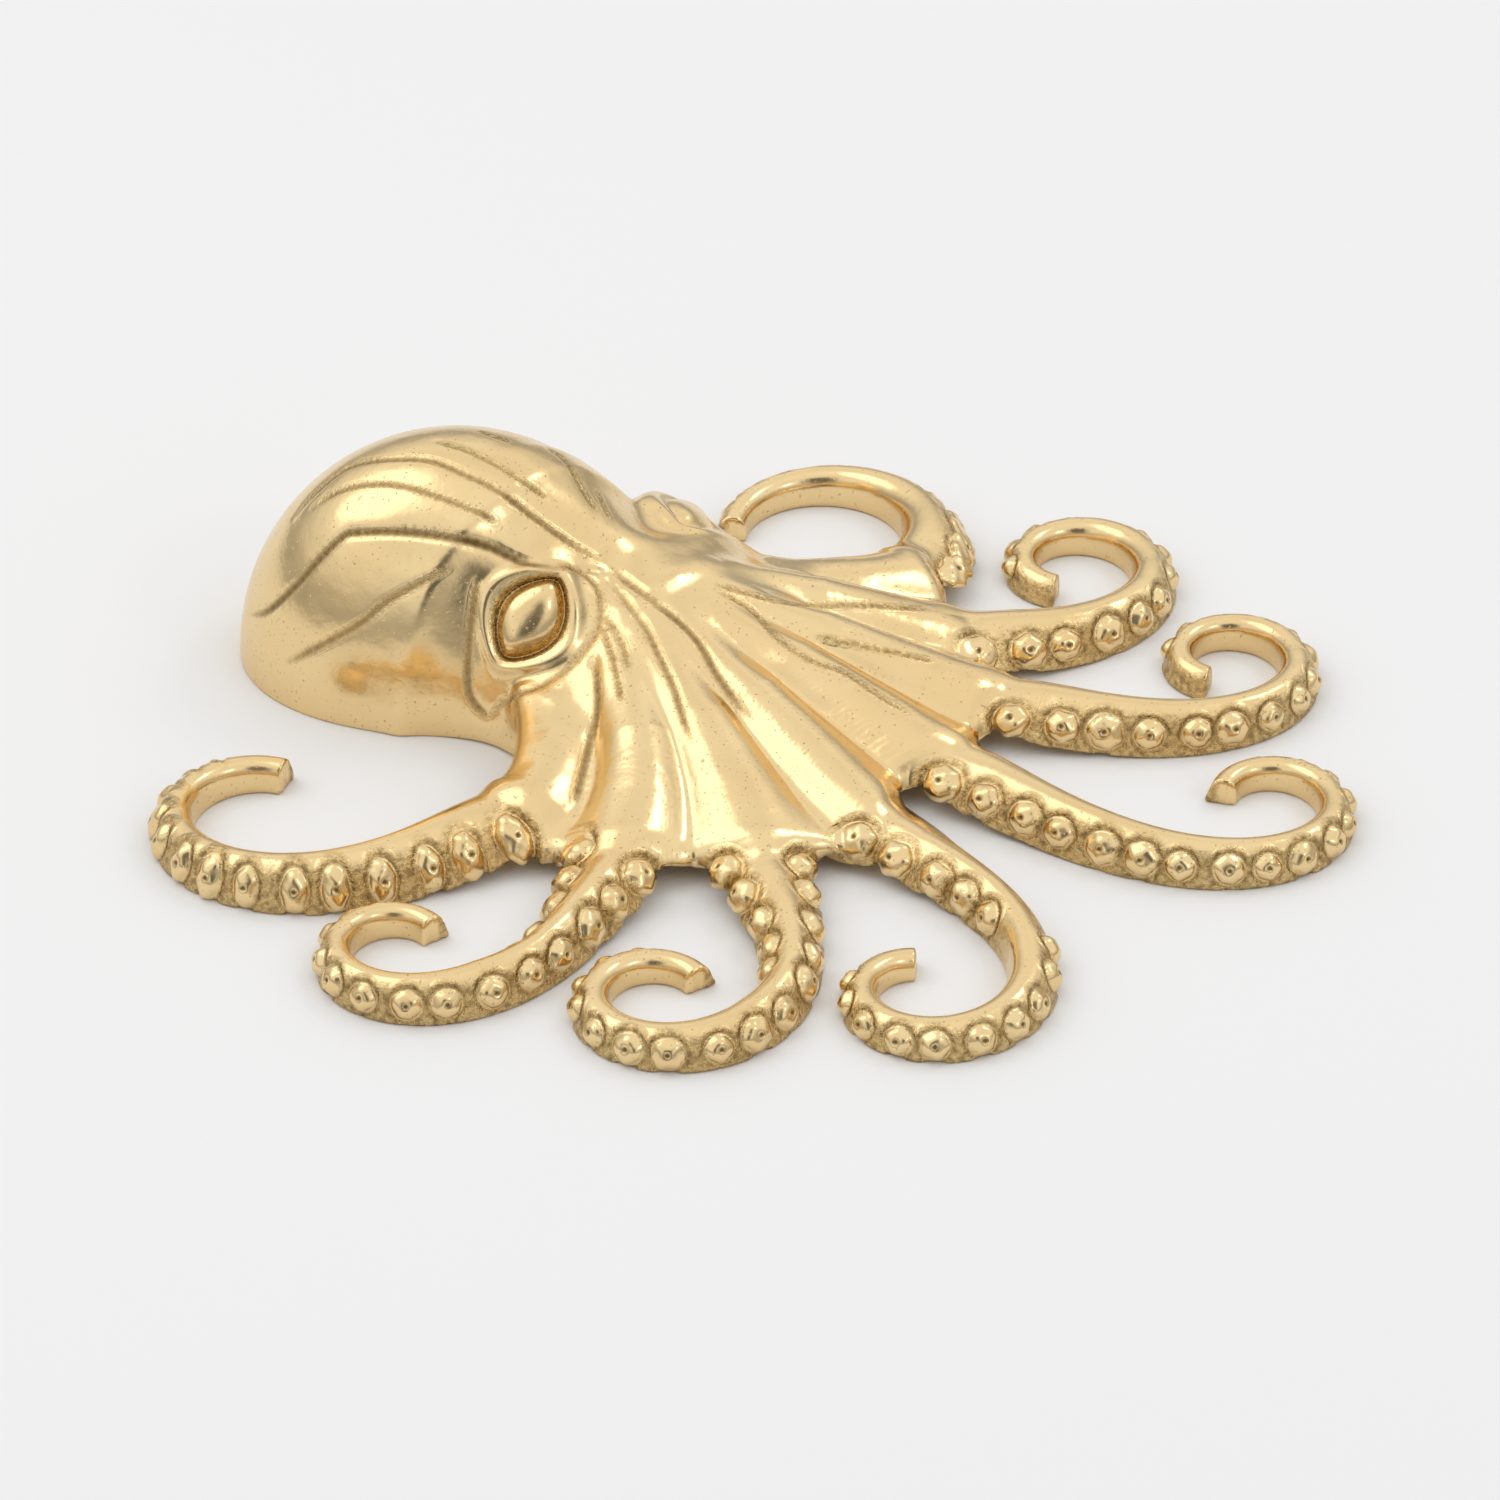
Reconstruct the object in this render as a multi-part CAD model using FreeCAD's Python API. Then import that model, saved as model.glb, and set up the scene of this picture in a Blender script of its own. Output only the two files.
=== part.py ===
import FreeCAD, Part
import math
import os

# A cast brass octopus that lies flat on a table: a hollow mantle, a head with two
# eyes, a hollow web and eight arms that curl on the table. The arms run to -Y and
# the mantle to +Y. Sizes are in millimetres.

# Web and neck
web_radius = 48.0
neck_offset = 12.0
neck_height = 24.0
neck_half_width = 33.0
web_wall = 3.2
web_edge_height = 5.4
valley_depth = 1.2
ridge_pull_share = 0.42
ridge_relief_share = 0.35
crest_power = 1.25
valley_power = 1.6
root_power = 3

# Arms
arm_length = 100.0
arm_root_width = 12.5
arm_tip_width = 5.8
arm_root_height = 10.0
arm_tip_height = 5.4
arm_root_lift = 4.6
arm_lift_share = 0.3
arm_taper_power = 1.6

# Suckers
sucker_radius = 3.0
sucker_tip_radius = 2.0
sucker_height = 1.3
sucker_root = 1.2
sucker_pitch = 7.6
sucker_pit_depth = 0.7
sucker_lean_share = 0.25
sucker_place_share = 0.46
sucker_flat_share = 0.9
sucker_crown_share = 0.66
sucker_pit_share = 0.34
sucker_pitch_shares = (1.05, 0.72)
sucker_run_shares = (0.10, 0.93)

# Mantle, a leaning dome
mantle_half_width = 32.3
mantle_half_length = 32.0
mantle_height = 40.5
mantle_side_offset = -15.7
mantle_back_offset = 46.2
mantle_front_offset = 32.0
mantle_wall = 3.6
mantle_groove = 0.9
mantle_lean_share = 0.28
mantle_crowd_share = 1.2
fold_power = 3

# Head and eyes
head_wall = 3.6
neck_far_share = 0.97
eye_length = 19.0
eye_width = 12.0
eye_bulge = 4.2
eye_sink = 2.0
eye_groove = 1.0
eye_border = 2.4
almond_share = 0.55

# One row for each arm, from the near neck round to the far neck: bearing of the
# root round the web in degrees, reach, heading of the root in degrees, length,
# first sway and later curl in degrees, how late the curl sets in, width and height.
arm_shares = (
    (184.7, 1.01, 171.8, 0.98, 35.0, -273.5, 1.84, 1.05, 1.00),
    (208.6, 1.05, 199.5, 0.95, 53.0, -353.0, 2.12, 0.92, 0.92),
    (234.2, 1.02, 240.2, 1.04, 49.0, -394.0, 1.90, 1.00, 0.85),
    (260.5, 0.96, 265.2, 1.07, 74.0, -385.0, 2.01, 1.02, 0.85),
    (286.0, 0.88, 276.0, 1.11, -19.0, 314.5, 2.64, 0.95, 0.90),
    (311.0, 0.96, 299.5, 1.06, -8.0, 364.0, 2.35, 0.92, 0.92),
    (337.5, 0.90, 312.5, 0.96, 64.0, 283.0, 2.22, 1.00, 0.90),
    (1.5, 1.05, 10.0, 0.70, 167.0, 43.5, 2.00, 1.05, 0.92),
)

# Where each ridge of the web leaves the neck: across as a share of the neck's half
# width, up as a share of its height, and width as a share of the arm's.
neck_ridge_shares = (
    (-0.84, 0.54, 0.70),
    (-0.44, 0.86, 0.46),
    (-0.25, 0.95, 0.26),
    (-0.13, 0.99, 0.22),
    (-0.02, 1.00, 0.22),
    (0.10, 0.99, 0.26),
    (0.34, 0.90, 0.46),
    (0.76, 0.54, 0.70),
)

# The web's free edge between two arms: bearing in degrees and reach.
web_edge_shares = (
    (195.0, 1.13),
    (219.0, 1.02),
    (252.5, 1.08),
    (271.0, 0.85),
    (296.5, 0.95),
    (321.0, 1.02),
    (346.5, 1.05),
)

# Half sections of the arm: across as a share of the half width, up as a share of
# the height.
arm_section_shares = (
    (-1.00, 0.00),
    (-1.00, 0.42),
    (-0.72, 0.84),
    (-0.20, 1.00),
    (0.30, 1.00),
    (0.78, 0.80),
    (1.00, 0.38),
    (1.00, 0.00),
)

# Head sections from the neck to the mantle. The first number is how far back the
# section lies as a share of the head, then come pairs: across as a share of the
# neck's half width and up as a share of its height.
head_shares = (
    (0.30, (-1.00, 0.00), (-0.88, 0.50), (-0.58, 1.00), (-0.28, 0.98),
     (0.00, 1.04), (0.27, 0.95), (0.56, 0.84), (0.86, 0.48), (0.97, 0.00)),
    (0.60, (-1.03, 0.00), (-0.93, 0.56), (-0.62, 1.06), (-0.33, 1.12),
     (-0.09, 1.20), (0.24, 0.98), (0.60, 0.84), (0.88, 0.48), (0.96, 0.00)),
    (0.86, (-1.08, 0.00), (-0.98, 0.66), (-0.72, 1.12), (-0.45, 1.30),
     (-0.22, 1.38), (0.14, 1.12), (0.50, 0.80), (0.80, 0.44), (0.88, 0.00)),
)

# Eyes: across, back and up from the middle of the neck as shares of the neck's
# half width, the head's length and the neck's height, then the way they face in
# degrees round and above the level, and the tilt of the almond.
eye_shares = {
    "right_eye": (-0.72, 0.42, 0.84, 218.0, 40.0, 52.0),
    "left_eye": (0.57, 0.80, 0.76, -18.0, 52.0, -40.0),
}

# Rings of an eye: size as a share of the almond, depth as a share of the bulge.
lid_shares = ((1.0, 0.35), (0.82, 0.62))
ball_shares = ((0.86, 0.0), (0.72, 0.75), (0.30, 1.0))
seat_foot_share = 0.95
recess_flare_share = 1.12

lobe_count = 9
lobe_points = 4
mantle_stations = 10
arm_stations = 20
ridge_stations = 7
head_columns = 21
eye_sides = 12
sucker_sides = 6
path_steps = 480
overrun = 1.0


def point(x, y, z):
    return FreeCAD.Vector(x, y, z)


def settle(p):
    """The point on a fine grid, so that corners that should meet do."""
    return point(round(p.x, 4), round(p.y, 4), round(p.z, 4))


def polar(radius, degrees):
    angle = math.radians(degrees)
    return radius * math.cos(angle), radius * math.sin(angle)


def mix(a, b, share):
    return a + (b - a) * share


def triangle(a, b, c):
    """A flat facet, or nothing where two of its corners meet."""
    a, b, c = settle(a), settle(b), settle(c)
    if (b - a).cross(c - a).Length == 0:
        return []
    return [Part.Face(Part.makePolygon([a, b, c, a]))]


def band(row, following):
    """Facets between two rows of as many points."""
    faces = []
    for i in range(len(row) - 1):
        faces += triangle(row[i], row[i + 1], following[i + 1])
        faces += triangle(row[i], following[i + 1], following[i])
    return faces


def fan(ring):
    """Facets that close a flat ring, all from its first point."""
    faces = []
    for a, b in zip(ring[1:], ring[2:]):
        faces += triangle(ring[0], a, b)
    return faces


def solid_of(faces):
    """A solid inside facets that close and all face the same way."""
    solid = Part.Solid(Part.Shell(faces))
    if solid.Volume < 0:
        solid = Part.Solid(Part.Shell([face.reversed() for face in faces]))
    return solid


def rod(rings):
    """A solid through closed rings of points, with flat ends."""
    faces = []
    for ring, following in zip(rings, rings[1:]):
        faces += band(ring + ring[:1], following + following[:1])
    return solid_of(faces + fan(rings[0][::-1]) + fan(rings[-1]))


def cone_to(ring, tip):
    """A solid from a flat ring of points to one tip."""
    return solid_of(band(ring + ring[:1], [tip] * (len(ring) + 1)) + fan(ring[::-1]))


def thick_sheet(outer, inner):
    """A solid between two grids of points that have the same rows and columns."""
    faces = []
    for row, following in zip(outer, outer[1:]):
        faces += band(row, following)
    for row, following in zip(inner, inner[1:]):
        faces += band(following, row)
    faces += band(inner[0], outer[0])
    faces += band(outer[-1], inner[-1])
    faces += band([row[0] for row in outer], [row[0] for row in inner])
    faces += band([row[-1] for row in inner], [row[-1] for row in outer])
    return solid_of(faces)


def smooth(points, count):
    """Even points on a smooth line through the given ones."""
    spans = len(points) - 1
    line = []
    for k in range(count):
        place = k * spans / (count - 1)
        i = min(int(place), spans - 1)
        t = place - i
        before = points[max(i - 1, 0)]
        start = points[i]
        end = points[i + 1]
        after = points[min(i + 2, spans)]
        line.append(
            start * (1 - t) ** 2 * (1 + 2 * t)
            + end * t ** 2 * (3 - 2 * t)
            + (end - before) * (t * (1 - t) ** 2 / 2)
            - (after - start) * (t ** 2 * (1 - t) / 2)
        )
    return line


def arm_path(arm, every=1):
    """Stations along an arm: place, heading in radians and share of the length."""
    bearing, reach, heading, length, sway, curl, ease, _, _ = arm_shares[arm]
    x, y = polar(reach * web_radius, bearing)
    step = length * arm_length / path_steps
    stations = []
    for i in range(path_steps + 1):
        share = i / path_steps
        angle = math.radians(heading + sway * share + curl * share ** ease)
        if i % every == 0:
            stations.append((x, y, angle, share))
        x += step * math.cos(angle)
        y += step * math.sin(angle)
    return stations


def arm_width(arm, share):
    taper = mix(arm_tip_width, arm_root_width, (1 - share) ** arm_taper_power)
    return arm_shares[arm][7] * taper


def arm_height(arm, share):
    return arm_shares[arm][8] * mix(arm_root_height, arm_tip_height, share)


def arm_floor(share):
    """How far the underside stands off the table: the arm comes down in its run."""
    return arm_root_lift * max(0.0, 1 - share / arm_lift_share) ** 2


def arm_outer_side(arm):
    """The outside of the curl: 1 on the left of the way the arm runs, or -1."""
    return 1 if arm_shares[arm][5] < 0 else -1


def across(station, offset, z):
    x, y, angle, _ = station
    return point(x - offset * math.sin(angle), y + offset * math.cos(angle), z)


def arm_section(arm, station):
    share = station[3]
    floor = arm_floor(share)
    half = arm_width(arm, share) / 2
    rise = arm_height(arm, share) - floor
    return [
        across(station, s * half, floor + up * rise)
        for s, up in arm_section_shares
    ]


def sucker(arm, station):
    """A domed sucker with a pit in it, on the outer wall of the arm."""
    x, y, angle, share = station
    side = arm_outer_side(arm)
    out = point(-side * math.sin(angle), side * math.cos(angle), sucker_lean_share)
    out.normalize()
    along = point(math.cos(angle), math.sin(angle), 0)
    up = out.cross(along).normalize()
    radius = mix(sucker_radius, sucker_tip_radius, share)
    floor = arm_floor(share)
    height = floor + (arm_height(arm, share) - floor) * sucker_place_share
    middle = across(station, side * arm_width(arm, share) / 2, height)

    def ring(scale, depth):
        points = []
        for k in range(sucker_sides):
            a, b = polar(scale * radius, 360 * (k + 0.5) / sucker_sides)
            points.append(middle + along * a + up * b * sucker_flat_share + out * depth)
        return points

    body = rod([ring(1.0, -sucker_root), ring(sucker_crown_share, sucker_height)])
    pit_floor = middle + out * (sucker_height - sucker_pit_depth)
    mouth_share = sucker_pit_share * (1 + overrun / sucker_pit_depth)
    return body.cut(cone_to(ring(mouth_share, sucker_height + overrun), pit_floor))


def sucker_stations(arm, stations):
    """Evenly pitched stations in the run and curl of the arm."""
    length = arm_shares[arm][3] * arm_length
    first, end = sucker_run_shares
    last = -1.0
    chosen = []
    for station in stations:
        share = station[3]
        pitch = sucker_pitch * mix(*sucker_pitch_shares, share)
        if first < share < end and (share - last) * length >= pitch:
            chosen.append(station)
            last = share
    return chosen


def make_arm(arm):
    coarse = arm_path(arm, path_steps // arm_stations)
    body = rod([arm_section(arm, station) for station in coarse])
    suckers = [sucker(arm, station) for station in sucker_stations(arm, arm_path(arm))]
    reach = 2 * arm_length
    above = Part.makeBox(2 * reach, 2 * reach, reach, point(-reach, -reach, 0))
    return body.fuse(suckers).common(above)


def ridge_station(arm, share):
    """Place and heading on the ridge that runs from the neck out to an arm."""
    root = arm_path(arm)[0]
    start = point(neck_ridge_shares[arm][0] * neck_half_width, neck_offset, 0)
    end = point(root[0], root[1], 0)
    pull = (end - start).Length * ridge_pull_share
    bend = point(
        end.x - pull * math.cos(root[2]), end.y - pull * math.sin(root[2]), 0
    )
    place = start * (1 - share) ** 2 + bend * 2 * share * (1 - share) + end * share ** 2
    way = (bend - start) * (1 - share) + (end - bend) * share
    return (place.x, place.y, math.atan2(way.y, way.x), share)


def ridge_rows(arm, share):
    """Upper and lower points across one ridge, which ends as the arm's root does."""
    _, up, narrow = neck_ridge_shares[arm]
    station = ridge_station(arm, share)
    at_root = share == 1
    fall = (1 - share) ** crest_power
    root_height = arm_height(arm, 0)
    crest = mix(root_height, up * neck_height, fall)
    depth = mix(web_wall, root_height - arm_root_lift, share ** root_power)
    half = arm_width(arm, 0) / 2 * mix(narrow, 1.0, share)
    if share == 0:
        station = (station[0], station[1], -math.pi / 2, 0)
    relief = (root_height - arm_root_lift) * mix(ridge_relief_share, 1.0, share)
    upper = []
    lower = []
    for s, height in arm_section_shares[1:-1]:
        drop = (1 - height) * relief
        upper.append(across(station, s * half, crest - drop))
        floor = arm_root_lift if at_root else crest - drop * (1 - share) - depth
        lower.append(across(station, s * half, floor))
    return upper, lower


def valley_point(gap, share, left, right):
    """The bottom of the fold between two ridges."""
    bearing, reach = web_edge_shares[gap]
    x, y = polar(reach * web_radius, bearing)
    outer = point(x, y, web_edge_height)
    middle = (left + right) * 0.5
    weight = share ** valley_power
    sunk = point(middle.x, middle.y, middle.z - valley_depth * (1 - share))
    return sunk * (1 - weight) + outer * weight


def make_web():
    """The folded skirt between the neck and the eight arm roots, open below."""
    upper_grid = []
    lower_grid = []
    arms = len(arm_shares)
    for row in range(ridge_stations):
        share = row / (ridge_stations - 1)
        rows = [ridge_rows(arm, share) for arm in range(arms)]
        upper = []
        lower = []
        for arm in range(arms):
            ridge_upper, ridge_lower = rows[arm]
            upper += ridge_upper
            lower += ridge_lower
            if arm < arms - 1:
                bottom = valley_point(arm, share, ridge_upper[-1], rows[arm + 1][0][0])
                upper.append(bottom)
                lower.append(bottom - point(0, 0, web_wall))
        upper_grid.append(upper)
        lower_grid.append(lower)
    return thick_sheet(upper_grid, lower_grid)


def mantle_arch(offset, wall):
    """Points over the mantle at one distance back, with a fold between lobes."""
    back = offset - mantle_back_offset
    length = mantle_half_length - wall
    shrink = math.sqrt(max(0.0, 1 - (back / length) ** 2))
    middle = mantle_side_offset - mantle_lean_share * back
    half = (mantle_half_width - wall) * shrink
    height = (mantle_height - wall) * shrink
    forward = max(0.0, -back / mantle_half_length)
    crowd = 1 + mantle_crowd_share * forward
    columns = lobe_count * lobe_points
    arch = []
    for k in range(columns + 1):
        share = 2 * k / columns - 1
        angle = 90 * (1 + math.copysign(abs(share) ** crowd, share))
        fold = abs(math.cos(math.pi * k / lobe_points)) ** fold_power
        inner = 0 < k < columns and wall == 0
        cut = mantle_groove * fold * shrink if inner else 0
        x = middle - (half - cut) * math.cos(math.radians(angle))
        z = (height - cut) * math.sin(math.radians(angle))
        arch.append(point(x, offset, max(z, 0.0)))
    return arch


def make_mantle():
    """The hollow bag behind the head, open below, with folds over its back."""
    rear = mantle_back_offset + mantle_half_length
    span = rear - mantle_front_offset
    outer = []
    inner = []
    for k in range(mantle_stations):
        share = math.sin(math.pi / 2 * k / (mantle_stations - 1))
        outer.append(mantle_arch(mantle_front_offset + span * share, 0))
        inner.append(
            mantle_arch(mantle_front_offset + (span - mantle_wall) * share, mantle_wall)
        )
    return thick_sheet(outer, inner)


def neck_arch():
    """The neck's section: the ridges at the web's first row, run into one line."""
    base = point(-neck_half_width, neck_offset, 0)
    crests = [
        point(x * neck_half_width, neck_offset, z * neck_height)
        for x, z, _ in neck_ridge_shares
    ]
    far = point(neck_half_width * neck_far_share, neck_offset, 0)
    return [base] + crests + [far]


def head_outline(wall):
    """Rows of points over the head, from the neck to the mantle's front."""
    length = mantle_front_offset - neck_offset
    lines = [neck_arch()]
    for back, *pairs in head_shares:
        offset = neck_offset + back * length
        lines.append(
            [point(x * neck_half_width, offset, z * neck_height) for x, z in pairs]
        )
    arch = mantle_arch(mantle_front_offset, 0)
    spans = len(lines[-1]) - 1
    lines.append([arch[round(i * (len(arch) - 1) / spans)] for i in range(spans + 1)])
    rows = [smooth(line, head_columns) for line in lines]
    columns = [smooth(column, 2 * len(rows) - 1) for column in zip(*rows)]
    shrink = 1 - wall / neck_half_width
    return [
        [point(p.x * shrink, p.y, max(p.z - wall, 0.0)) for p in row]
        for row in zip(*columns)
    ]


def eye_frame(name):
    """Middle, long axis, short axis and outward axis of an eye."""
    x, back, up, turn, raise_, tilt = eye_shares[name]
    length = mantle_front_offset - neck_offset
    middle = point(
        x * neck_half_width, neck_offset + back * length, up * neck_height
    )
    flat, rise = polar(1.0, raise_)
    cx, cy = polar(flat, turn)
    out = point(cx, cy, rise)
    level = point(0, 0, 1).cross(out).normalize()
    steep = out.cross(level).normalize()
    a, b = polar(1.0, tilt)
    long_axis = level * a + steep * b
    return middle, long_axis, out.cross(long_axis).normalize(), out


def eye_ring(name, scale, depth):
    """An almond outline, pointed at both ends, at a depth along the eye's axis."""
    middle, long_axis, short_axis, out = eye_frame(name)
    points = []
    for k in range(eye_sides):
        a, b = polar(1.0, 360 * k / eye_sides)
        b = b * mix(almond_share, 1.0, abs(b))
        points.append(
            middle
            + long_axis * (a * scale * eye_length / 2)
            + short_axis * (b * scale * eye_width / 2)
            + out * depth
        )
    return points


def make_eye(name):
    """The lid's rim, the groove inside it and the pointed eyeball, sunk in a seat."""
    foot = eye_ring(name, seat_foot_share, -eye_sink)
    lid = rod([foot] + [
        eye_ring(name, scale, depth * eye_bulge) for scale, depth in lid_shares
    ])
    inner = 1 - 2 * eye_border / eye_width
    rim = lid_shares[-1][1] * eye_bulge
    recess = rod([
        eye_ring(name, inner, rim - eye_groove),
        eye_ring(name, inner * recess_flare_share, rim + overrun),
    ])
    ball = rod([
        eye_ring(name, inner * scale, depth * eye_bulge) for scale, depth in ball_shares
    ])
    return lid.cut(recess).fuse(ball)


def make_head():
    """The bridge between web and mantle, with a seat for each eye."""
    head = thick_sheet(head_outline(0), head_outline(head_wall))
    for name in eye_shares:
        brow, depth = lid_shares[0]
        seat = rod([
            eye_ring(name, seat_foot_share, -eye_sink),
            eye_ring(name, brow, depth * eye_bulge),
            eye_ring(name, brow, eye_bulge + overrun),
        ])
        head = head.cut(seat)
    return head


def main():
    pieces = {"mantle": make_mantle(), "head": make_head(), "web": make_web()}
    for name in eye_shares:
        pieces[name] = make_eye(name)
    for arm in range(len(arm_shares)):
        pieces[f"arm_{arm + 1}"] = make_arm(arm)
    box = Part.makeCompound(list(pieces.values())).BoundBox
    shift = point(-box.Center.x, -box.Center.y, -box.ZMin)
    os.makedirs("parts", exist_ok=True)
    for name, shape in pieces.items():
        shape.translate(shift)
        print(name, shape.isValid(), len(shape.Solids), round(shape.Volume))
        shape.exportStep(f"parts/{name}.step")


main()
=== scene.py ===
import math

import bpy
import numpy as np
import openvdb
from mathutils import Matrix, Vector

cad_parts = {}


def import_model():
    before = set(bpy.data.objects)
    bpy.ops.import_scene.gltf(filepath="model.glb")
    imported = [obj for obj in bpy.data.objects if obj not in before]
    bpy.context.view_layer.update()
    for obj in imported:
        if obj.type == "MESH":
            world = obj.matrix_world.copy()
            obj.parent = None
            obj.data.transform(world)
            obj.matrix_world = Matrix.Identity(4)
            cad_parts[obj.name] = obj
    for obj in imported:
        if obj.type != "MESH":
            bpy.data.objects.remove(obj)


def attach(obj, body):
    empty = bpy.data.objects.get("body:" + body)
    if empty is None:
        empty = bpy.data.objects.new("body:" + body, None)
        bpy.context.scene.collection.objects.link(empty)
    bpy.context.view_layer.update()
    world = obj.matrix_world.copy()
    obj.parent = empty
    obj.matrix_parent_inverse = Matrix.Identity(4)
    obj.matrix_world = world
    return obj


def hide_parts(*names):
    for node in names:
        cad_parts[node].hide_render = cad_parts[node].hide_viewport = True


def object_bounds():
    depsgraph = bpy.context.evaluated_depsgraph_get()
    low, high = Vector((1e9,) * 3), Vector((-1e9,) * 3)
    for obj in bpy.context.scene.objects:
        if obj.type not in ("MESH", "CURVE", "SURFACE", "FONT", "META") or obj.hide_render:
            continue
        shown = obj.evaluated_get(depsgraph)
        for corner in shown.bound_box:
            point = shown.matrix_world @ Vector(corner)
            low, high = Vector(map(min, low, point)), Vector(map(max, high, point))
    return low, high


# A polished cast brass octopus. Its skin is one smooth distance field in
# millimetres, cut into one piece for each part of the casting. Lengths are in
# millimetres, angles in degrees, and a share is a part of the size it belongs to.

# Field: a place inside the casting has a negative value.
pitch = 0.32
margin = 2.0
far = 8.0
lowest = -1.0
unreached = 1e6
tiny = 1e-6
per_metre = 1000
shift_x, shift_y = 4.81395, 12.80125

# Skin
slope_reach_share = 0.9
skin_rounds = 2
skin_step = 0.15
least_steepness = 0.25

# Web and neck
web_radius = 48.0
neck_offset = 12.0
neck_height = 24.0
neck_half_width = 33.0
web_wall = 3.2
web_edge_height = 4.9
web_rim_round = 2.8
wall_corner_round = 0.6
web_overlap = 3.0
web_blend = 5.0
web_smoothing = 80
web_line_steps = 150
web_cross_steps = 60
web_fill_rounds = 60
ridge_pull_share = 0.42
crest_fall_power = 1.25
ridge_fall_power = 2.2
edge_drop_share = 0.58
neck_drop_share = 0.12
valley_sag = 2.3
neck_valley_sag = 0.4
valley_edge_power = 1.6
valley_round_share = 0.55
fold_start_share = 0.34

# Arms
arm_length = 100.0
arm_root_width = 12.5
arm_tip_width = 5.8
arm_root_height = 10.0
arm_tip_height = 5.4
arm_root_lift = 4.6
arm_lift_share = 0.3
arm_taper = 1.6
arm_step = 0.25
lead_share = 0.45
lead_stations = 60
lead_depth = 4.2
root_flare = 3.2
root_flare_run = 15.0
root_sink = 0.9
root_sink_run = 9.0
arm_join = 0.8
arm_blend = 5.0

# Arm sections: a leaning sucker wall outside the curl and a low crest
outer_lean_share = 0.62
inner_lean_share = 0.46
least_lean_share = 0.1
lean_start_share = 0.12
lean_grow_share = 0.22
inner_row_fade_start = 0.46
inner_row_fade_share = 0.16
crest_arch = 0.055
crest_round = 4.6
wall_round = 3.0
least_round = 1.0
floor_round = 0.8
tip_round = 1.2

# Rough ground on the sucker walls, which the brass darkens, partly as painted shade
wall_rough = 0.62
wall_rough_gain = 2.2
wall_rough_start = 0.35
wall_rough_top = 0.3
wall_rough_fade = 1.6
wall_rough_run_gain = 12
wall_rough_run_start = 0.3
rough_skin_cells = 3

# Suckers
sucker_radius = 3.2
sucker_tip_radius = 2.05
sucker_swell = 2.1
sucker_tip_swell_share = 0.8
sucker_sink = 0.62
sucker_pitch = 7.3
sucker_root_pitch_share = 1.05
sucker_tip_pitch_share = 0.66
sucker_tilt = 0.12
sucker_join = 0.3
sucker_room = 3.0
sucker_uneven_share = 0.08
sucker_uneven_beat = 1.7
spacing_uneven_share = 0.13
spacing_beat = 2.3
spacing_arm_beat = 1.1
sucker_dent = 0.11
dent_beat_along = 1.9
dent_beat_up = 1.7
disc_shares = (1.0, 0.94)
bean_shares = (0.84, 1.35)
leaf_shares = (1.45, 1.00)
leaf_swell_share = 0.62

# Sucker rows: where each starts and ends along the arm
outer_row_start = 0.05
outer_row_end = 0.93
inner_row_start = 0.03
inner_row_end = 0.36

# Marks round each sucker: width and middle of each ring in radii, reach into the arm
moat_depth = 0.36
moat_ring = (0.16, 1.12)
moat_reach = 1.5
sucker_dimple = 0.52
dimple_lift = 0.1
dimple_round = 0.35
ground_rough = 0.8
ground_ring = (0.30, 1.25)
ground_reach = 2.2
bare_ring = 1.10
bare_gain = 6
bare_reach = 4.0
# Painted shade: a dark ring in the crevice round each dome's foot and a dark spot in its dimple,
# in the colour only
crevice_shade = 0.46
crevice_ring = (0.12, 1.14)
crevice_reach = 1.6
sucker_hole = 0.5
hole_reach = 1.2

# Mantle and head
mantle_half_width = 32.3
mantle_half_length = 32.0
mantle_height = 40.4
mantle_side_offset = -15.7
mantle_back_offset = 46.2
mantle_front_offset = 32.0
mantle_lean = 0.28
mantle_arch_crowd = 1.2
mantle_arch_points = 9
body_wall = 3.4
body_left_room = 20.0
body_right_room = 12.0
body_front_room = 12.0
body_stations = 81
head_row_points = 41
head_far_foot_share = 0.97
head_front_overlap = 4.0
head_back_overlap = 5.0
head_blend = 5.0
head_smoothing = 10

# The neck line, blurred so that the web runs into the head
neck_level_reach = 30.0
neck_level_fade = 6.0
neck_smoothing = 28
neck_smooth_reach = 10.0
neck_smooth_edge = 1.0
neck_smooth_fade = 4.0
neck_smooth_lowest = 9.0
neck_smooth_rise = 3.0
neck_smooth_side_fade = 5.0

# Eyes: the way that each faces is a turn and a rise, a ring is a width and a middle
eye_half_length = 8.8
eye_half_width = 5.5
near_eye_way = (218.0, 40.0)
far_eye_way = (-18.0, 52.0)
far_eye_tilt = -40.0
far_eye_shares = (0.57, 0.80, 0.76)
far_eye_shift = (-0.7, -1.1, -3.2)
far_eye_swell = 3.4
far_recess_share = 0.45
mound_sizes = (11.6, 10.2, 6.8)
mound_sink = 4.2
mound_join = 2.2
almond_blunt = 0.07
almond_trim = 0.12
eye_level = 1.0
eye_reach = 3.6
eye_reach_gain = 1.6
lid_height = 0.8
lid_ring = (0.26, 1.34)
recess_depth = 2.1
recess_ring = 1.10
recess_gain = 3.4
ball_shift = 0.3
ball_scale = 0.93
ball_sink = 1.2
ball_height = 4.2
ball_rise = 2.8
ball_join = 0.4
trench_rough = 0.75
trench_ring = (0.10, 0.98)

# Cuts between the pieces, and the caps that close them
eye_seam = 1.9
eye_seam_depth = 4.5
arm_seam_edge = 2.4
arm_seam_top = 13.0
arm_seam_gap = 0.8
cap_depth = 7.0
cap_inset = 0.9

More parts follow.
